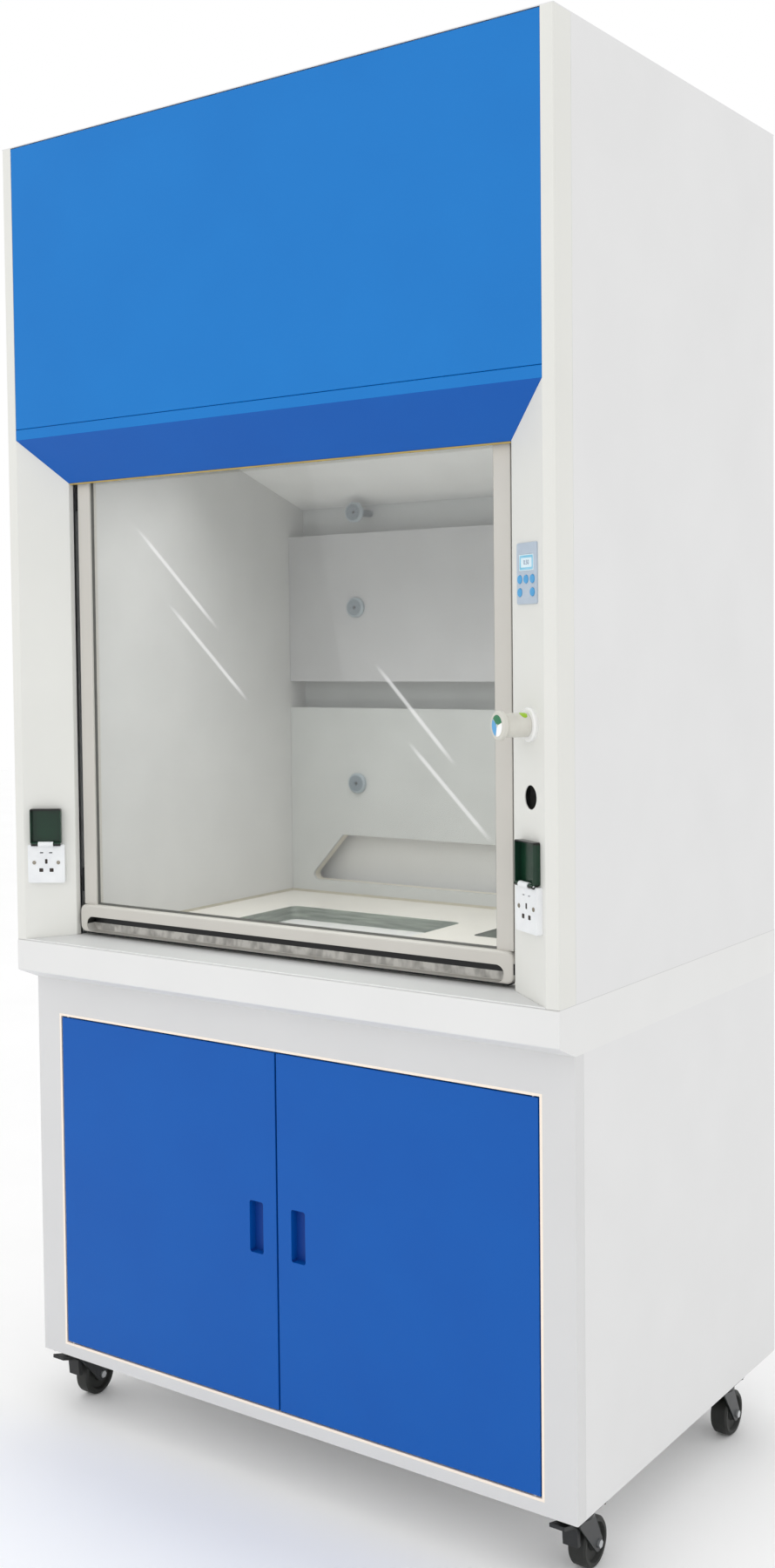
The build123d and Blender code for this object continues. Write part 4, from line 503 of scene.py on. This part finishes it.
def sashGlass(look):
    made, tree, bsdf, coords = newMaterial(
        "toughenedGlass", look["tint"], Roughness=0.02, IOR=1.5, Transmission_Weight=1
    )
    smear = noisy(tree, (coords, "Object"), look["smear"])
    spread = addNode(tree, "ShaderNodeMapRange", {"To Min": 0, "To Max": look["haze"]}, Value=(smear, "Fac"))
    tree.links.new(spread.outputs["Result"], bsdf.inputs["Roughness"])
    # Light passes straight through the thin pane, so its shadow stays light
    clear = addNode(tree, "ShaderNodeBsdfTransparent", {"Color": linear(look["shadow"])})
    ray = addNode(tree, "ShaderNodeLightPath")
    diffuse = addNode(tree, "ShaderNodeMath", {"operation": "MAXIMUM"}, in0=(ray, 1), in1=(ray, 2))
    mix = addNode(tree, "ShaderNodeMixShader", {}, in0=(diffuse, 0), in1=(bsdf, 0), in2=(clear, 0))
    # Painted reflection: pale streaks that the photograph shows across the pane, drawn as a faint glow
    ends = look["gleams"]
    paintedStreaks = joined(tree, "MAXIMUM", [gleam(tree, coords, *pair, look["gleamWidth"]) for pair in ends])
    depth = {"operation": "MULTIPLY", 1: look["gleamDepth"]}
    faint = addNode(tree, "ShaderNodeMath", depth, in0=(paintedStreaks, 0))
    paintedGlow = addNode(tree, "ShaderNodeEmission", {"Color": linear("#FFFFFF"), "Strength": 1})
    last = addNode(tree, "ShaderNodeMixShader", {}, in0=(faint, 0), in1=(mix, 0), in2=(paintedGlow, 0))
    tree.links.new(last.outputs[0], tree.nodes["Material Output"].inputs["Surface"])
    return made


dress(sashGlass({
    "tint": "#FFFFFF",
    "shadow": "#FBFDFC",
    "smear": 220,
    "haze": 0.05,
    # Painted reflection streaks, each from one place (x, z) in mm to another
    "gleams": (
        ((-293, 1550), (-120, 1376)),
        ((-225, 1421), (-57, 1256)),
        ((181, 1319), (320, 1168)),
        ((236, 1204), (379, 1059)),
    ),
    "gleamWidth": 7,
    "gleamDepth": 0.3,
}), "sash_glass")


# Fixing discs: grey-blue, with a lighter rim and a dark dot in the middle
def discFace(look):
    made, tree, bsdf, coords = moulded("nylonGreyDiscs", look["body"], look["rim"], 0.4)[:4]
    low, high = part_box("fixing_discs")
    radius = (high.z - low.z - look["pitch"] * mm) / 2
    split = addNode(tree, "ShaderNodeSeparateXYZ", {}, Vector=(coords, "Object"))
    side = addNode(tree, "ShaderNodeMath", {"operation": "ABSOLUTE"}, in0=(split, 0))
    place = addNode(tree, "ShaderNodeCombineXYZ", {}, X=(side, 0), Z=(split, 2))
    reaches = []
    for height in look["heights"]:
        settings = {"operation": "DISTANCE", 1: (high.x - radius, 0, height * mm)}
        distance = addNode(tree, "ShaderNodeVectorMath", settings, in0=(place, 0))
        reaches.append(addNode(tree, "ShaderNodeMath", {"operation": "ADD", 1: 0}, in0=(distance, "Value")))
    nearest = joined(tree, "MINIMUM", reaches)
    rings = addNode(tree, "ShaderNodeMapRange", {"From Max": radius}, Value=(nearest, 0))
    bands = addNode(tree, "ShaderNodeValToRGB", {}, Fac=(rings, "Result"))
    bands.color_ramp.interpolation = "CONSTANT"
    bands.color_ramp.elements[0].color = linear(look["dot"])
    bands.color_ramp.elements[1].position = look["dotReach"]
    bands.color_ramp.elements[1].color = linear(look["body"])
    rim = bands.color_ramp.elements.new(look["rimStart"])
    rim.color = linear(look["rim"])
    paint(tree, bsdf, (bands, "Color"))
    return made


dress(discFace({
    "body": "#737F86",
    "rim": "#98A4AA",
    "dot": "#2C3236",
    "dotReach": 0.16,
    "rimStart": 0.8,
    "pitch": 527.6,
    "heights": (1076.1, 1419.3, 1603.7),
}), "fixing_discs")

# Controls
dress(moulded("absBlueGreyBezel", "#B9C6D3", "#B1BECC", 0.35)[0], "control_panel")
dress(moulded("acrylicDisplay", "#E6F4FA", "#DCEFF7", 0.15, Coat_Weight=0.3)[0], "display")
dress(
    moulded("siliconeBlueKey", "#4FA6DC", "#469CD2", 0.35)[0],
    "key_1_1", "key_1_2", "key_1_3", "key_2_1", "key_2_2",
)
dress(moulded("nylonOffWhite", "#D6D4CB", "#CCCAC1", 0.35)[0], "valve_handle")
dress(moulded("polycarbonateWhite", "#EEF0F1", "#E6E8EA", 0.28)[0], "socket_plates")


# Lids: tinted clear plastic, dark green
def lidTint(look):
    made, tree, bsdf, coords, ramp = moulded(
        "polycarbonateGreenTint", look["tint"], look["shade"], 0.2,
        IOR=1.58, Transmission_Weight=0.2, Specular_IOR_Level=0.3,
    )
    # The moulded rim at its top and foot is thicker, so it looks almost black
    low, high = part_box("lid_left")
    rim = look["rim"] * mm
    mask = within(tree, coords, (-1, -1, low.z + rim), (1, 1, high.z - rim))
    mix = mixed(tree, mask, look["dark"], (ramp, "Color"))
    paint(tree, bsdf, (mix, 2))
    return made


dress(lidTint({"tint": "#0E3B26", "shade": "#0A3020", "rim": 4, "dark": "#060B08"}), "lid_left", "lid_right")

# Casters: black coated plates on top
dress(moulded("blackCoatedSteel", "#2A2C2D", "#202223", 0.35)[0], "caster_plates")


# Forks: the same coat, with bright zinc heads on the axle that goes through the legs
def forkCoat(node, axle):
    made, tree, bsdf, coords, ramp = moulded("blackCoatedSteel_" + node, "#24272A", "#1B1D1F", 0.32)
    low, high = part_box(node)
    wheelLow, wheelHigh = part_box(node.replace("fork", "wheel"))
    middle = (wheelLow + wheelHigh) / 2
    reach = axle["reach"] * mm
    block = (low.x - 1, middle.y - reach, middle.z - reach), (high.x + 1, middle.y + reach, middle.z + reach)
    legs = axle["legs"] * mm
    inside = (middle.x - legs, low.y - 1, low.z - 1), (middle.x + legs, high.y + 1, high.z + 1)
    outer = addNode(
        tree, "ShaderNodeMath", {"operation": "SUBTRACT", "use_clamp": True},
        in0=(within(tree, coords, *block), 0), in1=(within(tree, coords, *inside), 0),
    )
    mix = mixed(tree, outer, (ramp, "Color"), axle["zinc"])
    paint(tree, bsdf, (mix, 2))
    tree.links.new(outer.outputs[0], bsdf.inputs["Metallic"])
    return made


axleHeads = {"reach": 7.5, "legs": 18.2, "zinc": "#C9CCCE"}
for corner in ("front_left", "front_right", "rear_left", "rear_right"):
    dress(forkCoat("fork_" + corner, axleHeads), "fork_" + corner)
dress(moulded("nylonPedal", "#1E2021", "#161819", 0.5)[0], "pedal_front_left", "pedal_front_right")
dress(
    moulded("polyurethaneWheel", "#1C1E1A", "#141614", 0.55)[0],
    "wheel_front_left", "wheel_front_right", "wheel_rear_left", "wheel_rear_right",
)

print("stage: small pieces")

# The splayed posts start at the corner strip and slope inwards; sizes in mm
splay = {"strip": 500, "front": -384.578, "cos": 0.83205, "sin": 0.5547}


def onSplay(hand, along, height, out, across=0):
    # A place on a splayed face: x runs across it, y up, z out of it
    side = Vector((splay["cos"], -hand * splay["sin"], 0))
    outward = Vector((-hand * splay["sin"], -splay["cos"], 0))
    aside = hand * (splay["strip"] - along * splay["cos"])
    foot = Vector((aside, splay["front"] + along * splay["sin"], height))
    place = (foot + outward * out + side * across) * mm
    return Matrix.Translation(place) @ Matrix((side, (0, 0, 1), outward)).transposed().to_4x4()


def addPiece(piece, place, body, material):
    piece.data.materials.append(material)
    bpy.context.scene.collection.objects.link(piece)
    piece.matrix_world = place
    bpy.context.view_layer.update()
    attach(piece, body)


def rounded(width, height, radius, steps=5):
    # Outline of a rounded rectangle in mm, anticlockwise
    points = []
    for quarter, (x, y) in enumerate(((1, 1), (-1, 1), (-1, -1), (1, -1))):
        for step in range(steps + 1):
            angle = (quarter + step / steps) * pi / 2
            points.append((x * (width / 2 - radius) + radius * cos(angle),
                           y * (height / 2 - radius) + radius * sin(angle)))
    return points


def circle(radius, steps=24):
    # Outline of a circle in mm, anticlockwise
    angles = [2 * pi * step / steps for step in range(steps)]
    return [(radius * cos(angle), radius * sin(angle)) for angle in angles]


def flatPiece(name, loops, thick, bevel=0):
    # Plate cut from outlines in mm, holes included, lying on its own x and y
    curve = bpy.data.curves.new(name, "CURVE")
    curve.dimensions = "2D"
    curve.fill_mode = "BOTH"
    curve.extrude = (thick / 2 - bevel) * mm
    curve.bevel_depth = bevel * mm
    for loop in loops:
        spline = curve.splines.new("POLY")
        spline.points.add(len(loop) - 1)
        for point, (x, y) in zip(spline.points, loop):
            point.co = (x * mm, y * mm, 0, 1)
        spline.use_cyclic_u = True
    return bpy.data.objects.new(name, curve)


def meshPiece(name, shape):
    mesh = bpy.data.meshes.new(name)
    shape.to_mesh(mesh)
    shape.free()
    return bpy.data.objects.new(name, mesh)


def bar(name, sections, looped=False):
    # Bar through rings of points in mm, one ring after the other, with closed ends or back to the first
    shape = bmesh.new()
    rings = [[shape.verts.new(Vector(point) * mm) for point in ring] for ring in sections]
    for first, second in zip(rings, rings[1:] + rings[:1] if looped else rings[1:]):
        for i in range(len(first)):
            j = (i + 1) % len(first)
            shape.faces.new((first[i], first[j], second[j], second[i]))
    if not looped:
        shape.faces.new(rings[0][::-1])
        shape.faces.new(rings[-1])
    bmesh.ops.recalc_face_normals(shape, faces=shape.faces)
    return meshPiece(name, shape)


# Rubber gasket: a thin dark line where the pane meets the frame
gasket = {"colour": "#5C5C58", "width": 3.2, "inner": 388.8, "glass": 68.9, "bottom": 907.2, "top": 1639.8}


def gasketRing(look):
    inner, low, high = look["inner"], look["bottom"], look["top"]
    back = splay["front"] + look["glass"]
    wide = look["width"]
    section = ((0, 0), (wide, 0), (wide * 0.8, -1.2), (0, -wide))
    corners = ((-inner, low, 1, 1), (inner, low, -1, 1), (inner, high, -1, -1), (-inner, high, 1, -1))
    sections = [[(x + dx * a, back + b, z + dz * a) for a, b in section] for x, z, dx, dz in corners]
    return bar("glassGasket", sections, looped=True)


addPiece(
    gasketRing(gasket), Matrix(), "sash",
    moulded("rubberExtrudedGasket", gasket["colour"], "#52524E", 0.6)[0],
)

# Brass-coloured strip under the lintel
sealStrip = {"colour": "#B39B57", "near": 50.4, "far": 56.6, "top": 1629.8, "drop": 2.2, "half": 424}


def lintelStrip(look):
    near, far = splay["front"] + look["near"], splay["front"] + look["far"]
    low, high = look["top"] - look["drop"], look["top"]
    ring = ((near, high), (far, high), (far - 0.6, low), (near + 0.6, low))
    sections = [[(x, y, z) for y, z in ring] for x in (-look["half"], look["half"])]
    return bar("lintelStrip", sections)


addPiece(
    lintelStrip(sealStrip), Matrix(), "hood",
    moulded("brassFoilStrip", sealStrip["colour"], "#A48D4C", 0.5)[0],
)

# Display: a cyan frame and plain digits on the pale glass
screen = {
    "width": 38,
    "height": 20,
    "frame": 3.4,
    "colour": "#9AD2EA",
    "frameOut": 2.86,
    "digits": "0.50",
    "digitHeight": 9,
    "digitOut": 2.87,
    "ink": "#5C6F94",
}
panelPlace = (1, 43, 1458)


def displayMarks(look):
    outer = rounded(look["width"], look["height"], 2)
    inner = rounded(look["width"] - 2 * look["frame"], look["height"] - 2 * look["frame"], 1)[::-1]
    frameMade = moulded("inkCyanFrame", look["colour"], "#6CBEDD", 0.35)[0]
    piece = flatPiece("displayFrame", (outer, inner), 0.08)
    addPiece(piece, onSplay(*panelPlace, look["frameOut"]), "hood", frameMade)
    text = bpy.data.curves.new("displayDigits", "FONT")
    text.body = look["digits"]
    text.size = look["digitHeight"] * mm
    text.extrude = 0.04 * mm
    text.align_x, text.align_y = "CENTER", "CENTER"
    ink = moulded("inkSlateDigits", look["ink"], "#52648A", 0.4)[0]
    piece = bpy.data.objects.new("displayDigits", text)
    addPiece(piece, onSplay(*panelPlace, look["digitOut"]), "hood", ink)


displayMarks(screen)

# Knob: coloured sectors on the cap and a dot near its foot, plain signs without words
knobMarks = {
    "centre": (1, 40, 1234),
    "reach": 51.1,
    "radius": 15,
    "sectors": ((20, 140, "#1E7A4E"), (145, 255, "#5AA6DC"), (260, 375, "#FFFFFF")),
    "dot": "#9FC91F",
    "barrel": 17.12,
    "dotFoot": 9,
    "dotHead": 20,
    "dotTurn": 26,      # degrees from the top of the barrel
    "dotArc": 26,
    "dotLeast": 0.5,
}


def sector(start, end, radius, hole=2.5, steps=10):
    angles = [radians(start + (end - start) * i / steps) for i in range(steps + 1)]
    outer = [(radius * cos(a), radius * sin(a)) for a in angles]
    return outer + [(hole * cos(a), hole * sin(a)) for a in reversed(angles)]


for number, (start, end, colour) in enumerate(knobMarks["sectors"], start=1):
    piece = flatPiece(f"knobSector{number}", (sector(start, end, knobMarks["radius"]),), 0.16)
    made = moulded(f"inkOnKnob{number}", colour, colour, 0.35)[0]
    addPiece(piece, onSplay(*knobMarks["centre"], knobMarks["reach"]), "valve_handle", made)


def knobDot(look):
    # A patch that follows the barrel, on its upper side near the foot; its rows and columns come in steps
    radius, low, high, steps = look["barrel"], look["dotFoot"], look["dotHead"], 8
    shape = bmesh.new()
    rows = []
    for i in range(steps + 1):
        out = low + (high - low) * i / steps
        half = look["dotArc"] * (1 - (2 * i / steps - 1) ** 2) ** 0.5 + look["dotLeast"]
        angles = [radians(look["dotTurn"] + half * (2 * j / steps - 1)) for j in range(steps + 1)]
        rows.append([shape.verts.new(Vector((radius * sin(a), radius * cos(a), out)) * mm) for a in angles])
    for first, second in zip(rows, rows[1:]):
        for i in range(steps):
            shape.faces.new((first[i], first[i + 1], second[i + 1], second[i]))
    return meshPiece("knobDot", shape)


addPiece(
    knobDot(knobMarks), onSplay(*knobMarks["centre"], 0), "valve_handle",
    moulded("inkGreenDot", knobMarks["dot"], "#93BC1A", 0.35)[0],
)

# Slotted screws on both sides of each socket's upper slot
screwHead = {"radius": 3, "slot": (4.6, 0.9), "corner": 0.3, "thick": 0.9, "bevel": 0.2}
screwMade = metal("zincPlatedScrew", "#A59E90", "#8F887A", 0.35, 2)


def addScrew(name, place, turn):
    long, wide = screwHead["slot"]
    slot = rounded(long, wide, screwHead["corner"], 2)[::-1]
    piece = flatPiece(name, (circle(screwHead["radius"]), slot), screwHead["thick"], screwHead["bevel"])
    addPiece(piece, place @ Matrix.Rotation(radians(turn), 4, "Z"), "hood", screwMade)


# Dark plates as painted shadow in the mouths of the three pin slots; each is across, up, width, height
socketPlace = {"along": 40, "height": 978}
pinSlots = {
    "places": ((0, 4, 4.4, 8), (-9, -11, 7, 6.4), (9, -11, 7, 6.4)),
    "colour": "#2C211A",
    "face": 8.03,
}
plateScrews = {"places": ((-21, 25), (21, 70)), "up": 2, "face": 8.4}
slotShadeMade = moulded("nylonBrownShutter", pinSlots["colour"], "#241A14", 0.5)[0]
for hand, side in ((1, "Right"), (-1, "Left")):
    for number, (across, up, width, height) in enumerate(pinSlots["places"], start=1):
        piece = flatPiece(f"pinSlotShade{side}{number}", (rounded(width, height, 1),), 0.1)
        place = onSplay(hand, socketPlace["along"], socketPlace["height"] + up, pinSlots["face"], across)
        addPiece(piece, place, "hood", slotShadeMade)
    for across, turn in plateScrews["places"]:
        end = "Outer" if across * hand > 0 else "Inner"
        place = socketPlace["along"], socketPlace["height"] + plateScrews["up"], plateScrews["face"], across
        addScrew(f"socketScrew{side}{end}", onSplay(hand, *place), turn)

# Bead of sealant where the worktop meets the side liners and the lower baffle
sealant = {"width": 4, "colour": "#B4AE9B", "inner": 424.6, "near": 84, "far": 687.6, "top": 854.05}


def sealantRun(name, start, end, inward, look):
    # A triangular bead with a hollow face, from one place to the other
    profile = ((0, 0), (look["width"], 0), (look["width"] * 0.35, look["width"] * 0.35), (0, look["width"]))
    sections = [
        [(x + inward[0] * off, y + inward[1] * off, look["top"] + rise) for off, rise in profile]
        for x, y in (start, end)
    ]
    return bar(name, sections)


beadMade = moulded("siliconeSealant", sealant["colour"], "#A8A28F", 0.45)[0]
beadNear, beadFar = splay["front"] + sealant["near"], splay["front"] + sealant["far"]
for name, side in (("Left", -1), ("Right", 1)):
    edge = side * sealant["inner"]
    piece = sealantRun("sealantBead" + name, (edge, beadNear), (edge, beadFar), (-side, 0), sealant)
    addPiece(piece, Matrix(), "hood", beadMade)
piece = sealantRun(
    "sealantBeadBack", (-sealant["inner"], beadFar), (sealant["inner"], beadFar), (0, -1), sealant,
)
addPiece(piece, Matrix(), "hood", beadMade)

# Two blind hole plugs in the worktop by the baffle
deckPlugs = {
    "places": ((157, 323), (228, 323)),
    "level": 854.5,
    "radius": 5,
    "thick": 1.2,
    "bevel": 0.4,
    "colour": "#4C4E4A",
}
for number, (x, depth) in enumerate(deckPlugs["places"], start=1):
    made = moulded(f"polyethylenePlug{number}", deckPlugs["colour"], "#404240", 0.5)[0]
    outline = circle(deckPlugs["radius"])
    piece = flatPiece(f"deckPlug{number}", (outline,), deckPlugs["thick"], deckPlugs["bevel"])
    place = Matrix.Translation(Vector((x, splay["front"] + depth, deckPlugs["level"])) * mm)
    addPiece(piece, place, "hood", made)

print("stage: floor and light")

studio = {"floor": ("#FFFFFF", "#FDFDFD"), "cloud": 400, "reach": 12, "sky": 1.0}


def makeFloor(look):
    mesh = bpy.data.meshes.new("studioFloor")
    reach = look["reach"]
    corners = [(-reach, -reach, 0), (reach, -reach, 0), (reach, reach, 0), (-reach, reach, 0)]
    mesh.from_pydata(corners, [], [(0, 1, 2, 3)])
    floor = bpy.data.objects.new("studioFloor", mesh)
    bpy.context.scene.collection.objects.link(floor)
    made, tree, bsdf, coords = newMaterial("paintedStudioFloor", look["floor"][0], Roughness=0.8)
    ramp = mottled(tree, coords, look["floor"][::-1], look["cloud"])
    paint(tree, bsdf, (ramp, "Color"))
    mesh.materials.append(made)


def makeWorld(look):
    world = bpy.data.worlds.new("studioSky")
    bpy.context.scene.world = world
    world.use_nodes = True
    tree = world.node_tree
    background = tree.nodes["Background"]
    background.inputs["Color"].default_value = (1, 1, 1, 1)
    background.inputs["Strength"].default_value = look["sky"]


def makeLamp(name, place, aim, size, watts, spread=180):
    data = bpy.data.lights.new(name, "AREA")
    data.shape = "RECTANGLE"
    data.spread = radians(spread)
    data.size, data.size_y = size
    data.energy = watts
    lamp = bpy.data.objects.new(name, data)
    lamp.location = place
    lamp.rotation_euler = (Vector(aim) - Vector(place)).to_track_quat("-Z", "Y").to_euler()
    bpy.context.scene.collection.objects.link(lamp)


makeFloor(studio)
makeWorld(studio)
makeLamp("frontLamp", (-0.6, -4.2, 2.6), (0, 0, 1.2), (4, 3), 14)
# The hood's own lamp, as a soft light under its lens
makeLamp("lensLamp", (0, -0.16, 1.735), (0, -0.16, 0), (0.7, 0.3), 2.2, 110)
